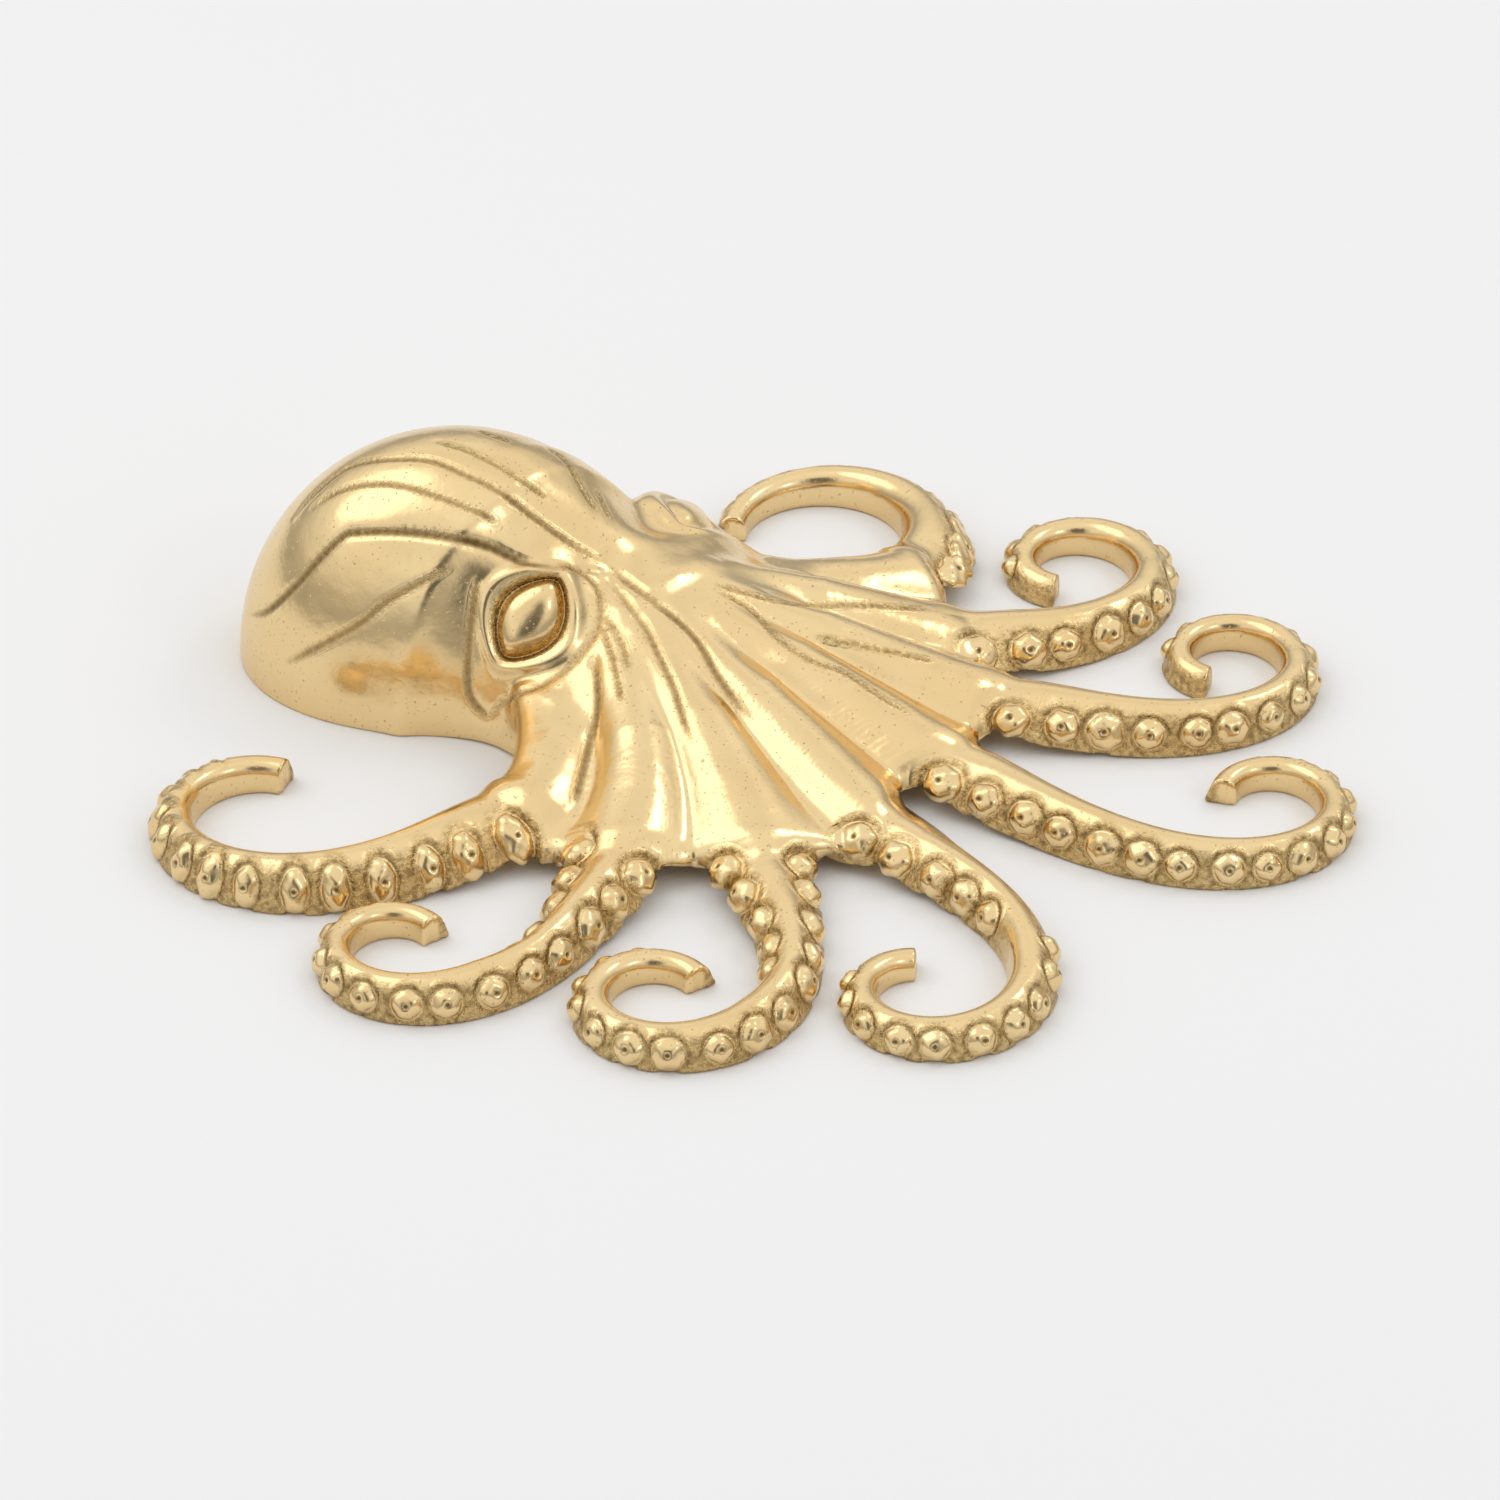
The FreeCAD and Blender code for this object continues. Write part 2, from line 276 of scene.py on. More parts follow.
# Engraving
groove_stations = 24
groove_step = 0.3
groove_jump = 4.0
groove_room = 3.2
groove_share = 0.8
groove_shoulder_share = 0.10
groove_shoulder = 2.0
groove_fade_gain = 7
groove_end_share = 0.15
groove_rough = 0.85
groove_rough_reach = 0.8
groove_bead_pitch = 1.1
groove_bead_share = 0.14
groove_bead_level = 0.88
groove_bead_beat_share = 0.37

# Rays from the camera to the skin
ray_rounds = 500
ray_touch = 0.05
ray_step_share = 0.6
ray_steps = (0.1, 2.0)

# Camera, in metres
camera_place = (-0.5844, -0.5854, 0.5592)
camera_target = (0.001814, 0.000801, 0.0)
camera_lens = 144.0
camera_film = 36.0
picture_width = 1500

# The studio: brightness of the sky by height, with a dim patch behind the camera
sky_ends = (0.82, 1.0)
sky_shares = ((0.07, 0.38), (0.20, 0.47), (0.38, 0.80), (0.58, 1.0), (0.80, 0.92))
sky_strength = 1.0
patch_radii = (0.20, 0.46)
patch_brightness = 0.16
floor_size = 8
floor_brightness = 0.88
floor_roughness = 0.9
lamp_rows = (
    ("key", (-0.28, 0.50, 0.85), 0.80, 1.4),
    ("fill", (0.60, -0.10, 0.70), 0.24, 0.4),
    ("front", (0.10, -0.75, 0.60), 0.16, 0.25),
)

# Brass: colours, then each noise by scale per metre, detail and roughness, then spans
gold_light = (0.88, 0.67, 0.355, 1)
gold_deep = (0.84, 0.615, 0.31, 1)
# Rough ground brass, darker in part as painted shade
ground_and_shade_brown = (0.56, 0.37, 0.125, 1)
# Painted shade: the dark brown of the engraved lines, the crevices round the suckers and their
# dimples, and of worn patches on the rough ground
crevice_shade_brown = (0.22, 0.135, 0.05, 1)
pit_brown = (0.30, 0.20, 0.09, 1)
tone_noise = (45.0, 3.0, 0.5)
wave_noise = (85.0, 2.0, 0.5)
polish_noise = (150.0, 4.0, 0.6)
ripple_noise = (330.0, 2.0, 0.5)
wear_noise = (900.0, 3.0, 0.5)
mark_noise = (1500.0, 3.0, 0.65)
pit_noise = (1700.0, 1.0, 0.5)
grain_noise = (2600.0, 2.0, 0.6)
carve_span = (0.22, 0.62)
work_span = (0.1, 0.9)
tone_span = (0.35, 0.65)
pit_span = (0.70, 0.76)
wear_span = (0.42, 0.66)
polish_span = (0.3, 0.75)
polish_roughness = (0.15, 0.27)
dull_roughness = 0.26
wear_share = 0.95
ground_and_shade_share = 0.75
pit_share = 0.35

# Bumps: strength, and depth in metres
wave_bump = (0.40, 0.0007)
ripple_bump = (0.35, 0.00022)
mark_bump = (1.0, 0.00075)
pit_bump = (0.6, 0.00016)
grain_bump = (0.10, 0.00005)

# Arm rows: bearing, reach, heading, length, sway, curl, ease, width, height
arm_shares = (
    (184.7, 1.01, 171.8, 0.98, 35.0, -273.5, 1.84, 1.05, 1.00),
    (208.6, 1.05, 199.5, 0.95, 53.0, -353.0, 2.12, 0.92, 0.92),
    (234.2, 1.02, 240.2, 1.04, 49.0, -394.0, 1.90, 1.00, 0.85),
    (260.5, 0.96, 265.2, 1.07, 74.0, -385.0, 2.01, 1.02, 0.85),
    (286.0, 0.88, 276.0, 1.11, -19.0, 314.5, 2.64, 0.95, 0.90),
    (311.0, 0.96, 299.5, 1.06, -8.0, 364.0, 2.35, 0.92, 0.92),
    (337.5, 0.90, 312.5, 0.96, 64.0, 283.0, 2.22, 1.00, 0.90),
    (1.5, 1.05, 10.0, 0.70, 167.0, 43.5, 2.00, 1.05, 0.92),
)
inner_row_arms = (1, 2, 3)
late_row_arm = 3
late_row_share = 0.40
neck_ridge_shares = (
    (-0.84, 0.54, 0.70),
    (-0.44, 0.86, 0.46),
    (-0.25, 0.95, 0.26),
    (-0.13, 0.99, 0.22),
    (-0.02, 1.00, 0.22),
    (0.10, 0.99, 0.26),
    (0.34, 0.90, 0.46),
    (0.76, 0.54, 0.70),
)
web_edge_shares = (
    (195.0, 1.13),
    (219.0, 1.02),
    (252.5, 1.08),
    (271.0, 0.85),
    (296.5, 0.95),
    (321.0, 1.02),
    (346.5, 1.00),
)
head_shares = (
    (0.30, (-1.00, 0.00), (-0.88, 0.50), (-0.58, 1.00), (-0.28, 0.98),
     (0.00, 1.04), (0.27, 0.95), (0.56, 0.84), (0.86, 0.48), (0.97, 0.00)),
    (0.60, (-1.03, 0.00), (-0.93, 0.56), (-0.62, 1.06), (-0.33, 1.12),
     (-0.09, 1.18), (0.24, 0.93), (0.60, 0.72), (0.88, 0.42), (0.96, 0.00)),
    (0.86, (-1.08, 0.00), (-0.98, 0.66), (-0.72, 1.12), (-0.45, 1.30),
     (-0.22, 1.36), (0.14, 1.06), (0.50, 0.72), (0.80, 0.40), (0.88, 0.00)),
)
# The near eye's almond, from its lower to its upper corner, as pixels.
near_eye_pixels = ((503, 660), (560, 578))

# Engraved lines, as pixels of the photograph, with depth and half width in
# millimetres: on the mantle, round the near eye, then between the web's ridges.
groove_pixels = (
    (0.95, 0.62, ((450, 568), (391, 599), (355, 627), (283, 665))),
    (1.25, 0.75, ((600, 571), (526, 562), (489, 547), (453, 538), (404, 532),
                  (358, 532), (342, 536), (318, 559), (293, 587), (266, 611),
                  (247, 615))),
    (0.90, 0.60, ((496, 522), (480, 513), (450, 501), (404, 486), (367, 484),
                  (336, 492), (312, 507))),
    (1.00, 0.62, ((609, 565), (572, 544), (532, 516), (496, 489), (465, 474),
                  (434, 461), (404, 458), (367, 461), (342, 470), (312, 495),
                  (293, 519))),
    (0.75, 0.55, ((551, 501), (526, 483), (496, 464), (465, 449), (436, 441))),
    (0.60, 0.50, ((508, 441), (480, 431))),
    (0.75, 0.55, ((550, 449), (566, 461), (584, 492), (597, 510))),
    (0.60, 0.50, ((597, 491), (609, 516))),
    (1.00, 0.62, ((487, 717), (469, 692), (470, 630), (477, 580))),
    (0.95, 0.62, ((552, 566), (571, 567), (590, 577), (600, 592), (600, 620), (590, 642),
                  (569, 667), (540, 685), (512, 696), (487, 717))),
    (0.80, 0.55, ((602, 615), (615, 630), (624, 650), (628, 669))),
    (0.80, 0.55, ((600, 620), (610, 650), (617, 680), (621, 700))),
    (1.20, 0.70, ((610, 567), (640, 590), (672, 615), (697, 640), (717, 675), (747, 720))),
    (1.00, 0.65, ((610, 580), (630, 607), (645, 627), (657, 652), (672, 685), (680, 712),
                  (690, 740))),
    (1.10, 0.75, ((593, 654), (596, 700), (588, 751), (575, 805))),
    (0.55, 0.60, ((713, 588), (749, 608), (779, 639), (810, 660), (843, 672),
                  (879, 695), (912, 715))),
    (0.45, 0.60, ((815, 636), (892, 652), (932, 660))),
    (0.55, 0.60, ((713, 583), (790, 603), (866, 605), (930, 609))),
)


def polar(radius, degrees):
    angle = math.radians(degrees)
    return radius * math.cos(angle), radius * math.sin(angle)


def mix(a, b, share):
    return a + (b - a) * share


def soft_min(a, b, width):
    """The lesser of two distances, with a fillet where they are near each other."""
    h = np.maximum(width - np.abs(a - b), 0.0) / width
    return np.minimum(a, b) - h * h * width / 4


def soft_max(a, b, width):
    return -soft_min(-a, -b, width)


def bell(value, width, middle=0.0):
    """1 at the middle, falling away over the given width."""
    return np.exp(-((value - middle) / width) ** 2)


def grown(value, run, start=0.0):
    """0 up to the start, then rising to 1 over the run."""
    return np.clip((value - start) / run, 0, 1)


def smooth_step(share):
    return share * share * (3 - 2 * share)


def blur(values, rounds):
    """Each value mixed with its neighbours along every axis, the given number of times."""
    for _ in range(rounds):
        for axis in range(values.ndim):
            values = (np.roll(values, 1, axis) + np.roll(values, -1, axis)) / 4 + values / 2
    return values


def catmull(points, count):
    """A smooth line through the given rows, with the given count of points."""
    points = np.asarray(points, float)
    spans = len(points) - 1
    place = np.linspace(0, spans, count)
    i = np.minimum(place.astype(int), spans - 1)
    t = (place - i).reshape((-1,) + (1,) * (points.ndim - 1))
    before = points[np.maximum(i - 1, 0)]
    start = points[i]
    end = points[i + 1]
    after = points[np.minimum(i + 2, spans)]
    return (
        start * (1 - t) ** 2 * (1 + 2 * t)
        + end * t ** 2 * (3 - 2 * t)
        + (end - before) * (t * (1 - t) ** 2 / 2)
        - (after - start) * (t ** 2 * (1 - t) / 2)
    )


class Grid:
    """A box of distances. The numbers along each axis are places in millimetres."""

    def __init__(self, low, high):
        self.low = np.array(low, float)
        counts = np.ceil((np.array(high) - self.low) / pitch).astype(int) + 1
        self.axes = [self.low[a] + pitch * np.arange(counts[a]) for a in range(3)]
        self.field = np.full(counts, far, np.float32)
        # carve holds the depth of the engraved lines and painted shade round the suckers; work
        # holds how rough the ground is, which the brass also darkens, partly as painted shade
        self.carve = np.zeros(counts, np.float32)
        self.work = np.zeros(counts, np.float32)

    def window(self, low, high):
        """The slices that cover a box, and the places inside it."""
        cuts = []
        for a in range(3):
            first = int(max(0, math.floor((low[a] - self.low[a]) / pitch)))
            last = int(min(len(self.axes[a]), math.ceil((high[a] - self.low[a]) / pitch) + 1))
            cuts.append(slice(first, max(first, last)))
        spans = [axis[cut].astype(np.float32) for axis, cut in zip(self.axes, cuts)]
        return tuple(cuts), *np.meshgrid(*spans, indexing="ij", sparse=True)

    def sample(self, values, places):
        """Values between the grid's points."""
        g = (places - self.low) / pitch
        top = np.array(values.shape) - 2
        i = np.clip(np.floor(g).astype(int), 0, top)
        f = np.clip(g - i, 0, 1)
        total = np.zeros(len(places))
        for corner in np.ndindex(2, 2, 2):
            weight = np.where(corner, f, 1 - f).prod(1)
            total += weight * values[tuple((i + corner).T)]
        return total

    def slope(self, places):
        """The field's gradient, over a little more than one cell."""
        reach = pitch * slope_reach_share
        columns = []
        for a in range(3):
            step = np.zeros(3)
            step[a] = reach
            ahead = self.sample(self.field, places + step)
            behind = self.sample(self.field, places - step)
            columns.append((ahead - behind) / (2 * reach))
        return np.stack(columns, 1)


def line_distance(x, y, px, py):
    """Distance from every place on a plane to a line of many straight pieces."""
    best = np.full(np.broadcast(x, y).shape, unreached, np.float32)
    for ax, ay, bx, by in zip(px, py, px[1:], py[1:]):
        dx, dy = bx - ax, by - ay
        length = dx * dx + dy * dy + tiny ** 2
        t = np.clip(((x - ax) * dx + (y - ay) * dy) / length, 0, 1)
        gap = (x - ax - t * dx) ** 2 + (y - ay - t * dy) ** 2
        best = np.minimum(best, gap)
    return np.sqrt(best)


def inside_outline(x, y, px, py):
    """True where a place is inside a closed outline."""
    inside = np.zeros(np.broadcast(x, y).shape, bool)
    for ax, ay, bx, by in zip(px, py, np.roll(px, -1), np.roll(py, -1)):
        if ay == by:
            continue
        crosses = (ay > y) != (by > y)
        inside ^= crosses & (x < (bx - ax) * (y - ay) / (by - ay) + ax)
    return inside


def ridge_line(arm, share):
    """Places along a ridge of the web, from the neck at 0 to the arm's root at 1."""
    bearing, reach, heading = arm_shares[arm][:3]
    aside, up, narrow = neck_ridge_shares[arm]
    end = np.array(polar(reach * web_radius, bearing))
    start = np.array((aside * neck_half_width, neck_offset))
    pull = np.linalg.norm(end - start) * ridge_pull_share
    bend = end - pull * np.array(polar(1.0, heading))
    s = np.asarray(share)[:, None]
    place = start * (1 - s) ** 2 + bend * 2 * s * (1 - s) + end * s ** 2
    way = (bend - start) * (1 - s) + (end - bend) * s
    root_height = arm_shares[arm][8] * arm_root_height
    crest = mix(root_height, up * neck_height, (1 - share) ** crest_fall_power)
    half = arm_shares[arm][7] * arm_root_width / 2 * mix(narrow, 1.0, share)
    return place, np.arctan2(way[:, 1], way[:, 0]), crest, half


def arm_line(arm):
    """Stations along the end of a ridge and along its arm, with the section at each."""
    bearing, reach, heading, length, sway, curl, ease, width, height = arm_shares[arm]
    lead = np.linspace(lead_share, 1.0, lead_stations)[:-1]
    place, way, crest, half = ridge_line(arm, lead)
    steps = int(length * arm_length / arm_step)
    share = np.arange(steps + 1) / steps
    angle = np.radians(heading + sway * share + curl * share ** ease)
    step = length * arm_length / steps
    start = polar(reach * web_radius, bearing)
    x = start[0] + np.concatenate([[0], np.cumsum(step * np.cos(angle))[:-1]])
    y = start[1] + np.concatenate([[0], np.cumsum(step * np.sin(angle))[:-1]])
    arm_half = width * mix(arm_tip_width, arm_root_width, (1 - share) ** arm_taper) / 2
    top = height * mix(arm_root_height, arm_tip_height, share)
    floor = arm_root_lift * np.maximum(0.0, 1 - share / arm_lift_share) ** 2
    away = np.concatenate([(1 - lead) * web_radius, share * length * arm_length])
    flare = root_flare * bell(away, root_flare_run)
    sink = root_sink * bell(away, root_sink_run)
    sink[:len(lead)] = root_sink
    return {
        "x": np.concatenate([place[:, 0], x]) + shift_x,
        "y": np.concatenate([place[:, 1], y]) + shift_y,
        "way": np.concatenate([way, angle]),
        "half": np.concatenate([half, arm_half]) + flare,
        "top": np.concatenate([crest, top]) - sink,
        "floor": np.concatenate([crest - lead_depth, floor]),
        "share": np.concatenate([lead - 1, share]),
    }


def outer_side(arm):
    """The outside of the curl: 1 on the left of the way the arm runs, or -1."""
    return 1 if arm < 4 else -1


def nearest_station(line, x, y):
    """The number of a line's station that is nearest to each place, and how near."""
    best = np.full(x.shape, unreached, np.float32)
    index = np.zeros(x.shape, int)
    for i, (px, py) in enumerate(zip(line["x"], line["y"])):
        gap = (x - px) ** 2 + (y - py) ** 2
        near = gap < best
        best[near] = gap[near]
        index[near] = i
    return index, np.sqrt(best)


def arm_section(aside, z, half, top, floor, outer_lean, inner_lean):
    """Distance to a section with two leaning walls, a low crest and a flat floor."""
    rise = top - floor
    level = (z - floor) / rise
    outer = (aside - half + outer_lean * level) / np.hypot(1, outer_lean / rise)
    inner = (-aside - half + inner_lean * level) / np.hypot(1, inner_lean / rise)
    over = z - top + crest_arch * (aside - (inner_lean - outer_lean) / 2) ** 2
    thickness = half / (arm_root_width / 2)
    distance = soft_max(inner, over, np.maximum(crest_round * thickness, least_round))
    distance = soft_max(distance, outer, np.maximum(wall_round * thickness, least_round))
    return soft_max(distance, floor - z, floor_round)


def rough_walls(from_crest, z, half, top, share, near_root):
    """How rough an arm is: on its sucker wall, and on its inner wall near the root."""
    outer = np.clip(from_crest / half * wall_rough_gain - wall_rough_start, 0, 1)
    inner = np.clip(-from_crest / half * wall_rough_gain - wall_rough_start, 0, 1)
    below = grown(top - z, wall_rough_fade, wall_rough_top)
    run = np.clip(share * wall_rough_run_gain - wall_rough_run_start, 0, 1)
    return wall_rough * np.maximum(outer, inner * near_root) * below * run


def add_arm(grid, labels, arm, line):
    """One arm's rounded section, swept along its line."""
    reach = line["half"].max() + far
    low = (line["x"].min() - reach, line["y"].min() - reach, lowest)
    high = (line["x"].max() + reach, line["y"].max() + reach, line["top"].max() + far)
    cuts, x, y, z = grid.window(low, high)
    plane_x, plane_y = np.broadcast_arrays(x, y)
    index, gap = nearest_station(line, plane_x, plane_y)
    cos, sin = np.cos(line["way"])[index], np.sin(line["way"])[index]
    dx, dy = plane_x - line["x"][index], plane_y - line["y"][index]
    along = dx * cos + dy * sin
    across = dy * cos - dx * sin
    last = index == len(line["x"]) - 1
    aside = np.where(last | (index == 0), np.abs(across), gap)
    aside = aside * np.sign(across) * outer_side(arm)
    half, share = line["half"][index], line["share"][index]
    edge = np.abs(aside) - half
    near_root = np.zeros(share.shape)
    if arm in inner_row_arms:
        near_root = grown(inner_row_fade_start - share, inner_row_fade_share)
    leaning = half * grown(share, lean_grow_share, -lean_start_share)
    outer_lean = outer_lean_share * leaning
    inner_lean = leaning * np.maximum(inner_lean_share * near_root, least_lean_share)
    top, floor = line["top"][index], line["floor"][index]
    distance = arm_section(aside, z, half, top, floor, outer_lean, inner_lean)
    distance = soft_max(distance, np.where(last, along, -far), tip_round)
    from_crest = aside - (inner_lean - outer_lean) / 2
    rough = rough_walls(from_crest, z, half, top, share, near_root)
    rough = np.where(np.abs(distance) < rough_skin_cells * pitch, rough, 0)
    grid.work[cuts] = np.maximum(grid.work[cuts], rough)
    grid.field[cuts] = soft_min(grid.field[cuts], distance.astype(np.float32), arm_join)
    closer = edge[:, :, 0] < labels["edge"][cuts[:2]]
    for name, values in (("edge", edge), ("arm", arm + 1), ("share", share)):
        part = labels[name][cuts[:2]]
        part[closer] = np.broadcast_to(values, edge.shape)[closer, 0]


def web_columns():
    """Smooth lines down the web: one crest for each arm and one valley between two."""
    t = np.linspace(0, 1, web_line_steps)
    crests = []
    edges = []
    for arm, row in enumerate(arm_shares):
        place, way, crest, half = ridge_line(arm, t)
        way[0] = way[1]
        normal = np.stack([-np.sin(way), np.cos(way)], 1) * half[:, None]
        shoulder = edge_drop_share * (row[8] * arm_root_height - arm_root_lift)
        drop = shoulder * mix(neck_drop_share, 1.0, t)
        crests.append(np.column_stack([place, crest]))
        sides = (place - normal, place + normal)
        edges.append([np.column_stack([side, crest - drop]) for side in sides])
    valleys = [edges[0][0]]
    for gap, (bearing, reach) in enumerate(web_edge_shares):
        outer = np.array([*polar(reach * web_radius, bearing), web_edge_height])
        sunk = (edges[gap][1] + edges[gap + 1][0]) / 2
        sunk[:, 2] -= neck_valley_sag * (1 - t) + valley_sag * np.sin(math.pi * t)
        weight = (t ** valley_edge_power)[:, None]
        valley = sunk * (1 - weight) + outer * weight
        level = (crests[gap][:, 2] + crests[gap + 1][:, 2]) / 2
        folded = smooth_step(grown(t, fold_start_share))
        valley[:, 2] = mix(level, valley[:, 2], folded)
        valleys.append(valley)
    valleys.append(edges[-1][1])
    return crests, valleys


def web_cloud(crests, valleys):
    """Many places on the web's top, between each crest and the valleys beside it."""
    share = np.linspace(0, 1, web_cross_steps)[:, None]
    rounded = (1 + np.cos(math.pi * share)) / 2
    fall = mix(1 - share ** ridge_fall_power, rounded, valley_round_share)
    cloud = []
    for arm, crest in enumerate(crests):
        for valley in (valleys[arm], valleys[arm + 1]):
            sheet = crest[None] * (1 - share[:, :, None]) + valley[None] * share[:, :, None]
            sheet[:, :, 2] = valley[None, :, 2] + (crest - valley)[None, :, 2] * fall
            cloud.append(sheet.reshape(-1, 3))
    return np.concatenate(cloud) + (shift_x, shift_y, 0)


def height_map(cloud, x, y):
    """The cloud's height over each place of a plane, carried on past its edges."""
    i = np.rint((cloud[:, 0] - x[0, 0, 0]) / pitch).astype(int)
    j = np.rint((cloud[:, 1] - y[0, 0, 0]) / pitch).astype(int)
    total = np.zeros((x.shape[0], y.shape[1]))
    count = np.zeros_like(total)
    np.add.at(total, (i, j), cloud[:, 2])
    np.add.at(count, (i, j), 1)
    height = total / np.maximum(count, 1)
    filled = (count > 0).astype(float)
    sides = [(step, axis) for step in (1, -1) for axis in (0, 1)]
    for _ in range(web_fill_rounds):
        near = sum(np.roll(height * filled, *side) for side in sides)
        weight = sum(np.roll(filled, *side) for side in sides)
        fresh = (filled == 0) & (weight > 0)
        height[fresh] = near[fresh] / weight[fresh]
        filled[fresh] = 1
    for _ in range(web_smoothing):
        height = sum(np.roll(height, *side) for side in sides) / 8 + height / 2
    return height


def web_outline(crests, valleys):
    """The closed line round the web, with the first place again at its end."""
    left, right = valleys[0][:, :2], valleys[-1][:, :2]
    rim = []
    for arm, crest in enumerate(crests):
        rim += [valleys[arm][-1], crest[-1]]
    back = neck_offset + web_overlap
    corners = np.array([[right[0, 0], back], [left[0, 0], back]])
    loop = np.concatenate([left, np.array(rim)[1:, :2], right[::-1], corners])
    return np.append(loop, loop[:1], 0) + (shift_x, shift_y)


def add_web(grid):
    """The folded skirt, as a height over the table inside an outline."""
    crests, valleys = web_columns()
    cloud = web_cloud(crests, valleys)
    low = (cloud[:, 0].min() - far, cloud[:, 1].min() - far, lowest)
    high = (cloud[:, 0].max() + far, cloud[:, 1].max() + far, neck_height + far)
    cuts, x, y, z = grid.window(low, high)
    height = height_map(cloud, x, y)
    lean = np.hypot(*np.gradient(height, pitch))
    over = (z - height[:, :, None]) / np.sqrt(1 + lean ** 2)[:, :, None]
    px, py = web_outline(crests, valleys).T
    gap = line_distance(x, y, px, py)
    outline = np.where(inside_outline(x, y, px[:-1], py[:-1]), -gap, gap)
    sheet = soft_max(over, -over - web_wall, wall_corner_round)
    sheet = soft_max(sheet, outline, web_rim_round)
    grid.field[cuts] = np.minimum(grid.field[cuts], sheet.astype(np.float32))


def mantle_distance(x, y, z):
    """Signed distance to the leaning egg of the mantle, good near its skin."""
    back = y - shift_y - mantle_back_offset
    aside = x - shift_x - mantle_side_offset + mantle_lean * back
    qx = aside / mantle_half_width ** 2
    qy = back / mantle_half_length ** 2
    qz = z / mantle_height ** 2
    value = aside * qx + back * qy + z * qz
    steep = 2 * np.sqrt(qx ** 2 + (qy + mantle_lean * qx) ** 2 + qz ** 2) + tiny
    return (value - 1) / steep


def mantle_arch(offset, count):
    """The mantle's section at one distance back."""
    back = offset - mantle_back_offset
    shrink = math.sqrt(1 - (back / mantle_half_length) ** 2)
    crowd = 1 + mantle_arch_crowd * max(0.0, -back / mantle_half_length)
    share = np.linspace(-1, 1, count)
    angle = np.pi / 2 * (1 + np.sign(share) * np.abs(share) ** crowd)
    x = mantle_side_offset - mantle_lean * back - mantle_half_width * shrink * np.cos(angle)
    return np.column_stack([x, mantle_height * shrink * np.sin(angle)])


def head_rows():
    """Sections of the head from the neck back to the mantle, of equal counts of points."""
    crests = [(x * neck_half_width, z * neck_height) for x, z, _ in neck_ridge_shares]
    neck = [(-neck_half_width, 0), *crests, (head_far_foot_share * neck_half_width, 0)]
    lines = [neck]
    places = [0.0]
    for back, *pairs in head_shares:
        lines.append([(x * neck_half_width, z * neck_height) for x, z in pairs])
        places.append(back)
    lines.append(mantle_arch(mantle_front_offset, mantle_arch_points))
    places.append(1.0)
    rows = np.array([catmull(line, head_row_points) for line in lines])
    length = mantle_front_offset - neck_offset
    return neck_offset + np.array(places) * length, rows


def head_distance(x, y, z):
    """Distance to the head, one upright plane after another, then blurred."""
    offsets, rows = head_rows()
    flat = rows.reshape(len(rows), -1)
    stations = catmull(np.concatenate([offsets[:, None], flat], 1), body_stations)
    head = np.full(np.broadcast(x, y, z).shape, far, np.float32)
    plane_x, plane_z = np.broadcast_arrays(x[:, 0, :], z[0, :, :])
    first, last = neck_offset - head_front_overlap, mantle_front_offset + head_back_overlap
    for j, place in enumerate(y[0, :, 0] - shift_y):
        if place < first - far or place > last + far:
            continue
        t = np.clip(place, offsets[0], offsets[-1])
        row = np.array([np.interp(t, stations[:, 0], c) for c in stations[:, 1:].T])
        row = row.reshape(-1, 2)
        px = np.concatenate([[row[0, 0]], row[:, 0], [row[-1, 0]]]) + shift_x
        pz = np.concatenate([[-far], row[:, 1], [-far]])
        gap = line_distance(plane_x, plane_z, px, pz)
        inside = inside_outline(plane_x, plane_z, px, pz)
        head[:, j, :] = np.maximum(np.where(inside, -gap, gap), max(first - place, place - last))
    return blur(head, head_smoothing)


def add_body(grid):
    """The head and the mantle as one hollow bag with the web running into it."""
    low = (
        -neck_half_width - far - body_left_room,
        neck_offset + shift_y - body_front_room,
        lowest,
    )
    high = (
        neck_half_width + far + body_right_room,
        mantle_back_offset + mantle_half_length + shift_y + far,
        mantle_height + margin,
    )
    cuts, x, y, z = grid.window(low, high)
    bag = soft_min(head_distance(x, y, z), mantle_distance(x, y, z), head_blend)
    bag = soft_max(bag, -bag - body_wall, wall_corner_round)
    web = grid.field[cuts]
    near = np.maximum(web_blend - np.abs(web - bag), 0.0) / web_blend
    level = grown(neck_level_reach - np.abs(x - shift_x), neck_level_fade)
    bag = soft_min(web, bag, web_blend) + near * near * web_blend / 4 * level
    grid.field[cuts] = bag.astype(np.float32)
    smooth_neck(grid)


def smooth_neck(grid):
    """Blur the field where the web runs into the head, less and less away from there."""
    middle = neck_offset + shift_y
    low = (-neck_half_width - far, middle - neck_smooth_reach, lowest)
    high = (neck_half_width + far, middle + neck_smooth_reach, neck_height + 2 * far)
    cuts, x, y, z = grid.window(low, high)
    sharp = grid.field[cuts]
    soft = blur(sharp, neck_smoothing)
    reach = neck_smooth_reach - neck_smooth_edge
    weight = grown(reach - np.abs(y - middle), neck_smooth_fade)
    weight = weight * grown(z, neck_smooth_rise, neck_smooth_lowest)
    inward = neck_level_reach - np.abs(x - shift_x)
    weight = weight * grown(inward, neck_smooth_side_fade)
    grid.field[cuts] = mix(sharp, soft, weight)


def outward(turn, rise):
    """The unit way with a turn about the upright and a rise over the table."""
    flat, up = polar(1.0, rise)
    return np.array((*polar(flat, turn), up))


def square_axes(middle, long_axis, out):
    """An eye's middle with its long, short and outward axes, square to each other."""
    long_axis = long_axis - out * long_axis.dot(out)
    long_axis /= np.linalg.norm(long_axis)
    return middle, long_axis, np.cross(out, long_axis), out


def near_eye_axes(grid):
    low, high = land_on_skin(grid, np.array(near_eye_pixels, float))
    return square_axes((low + high) / 2, high - low, outward(*near_eye_way))


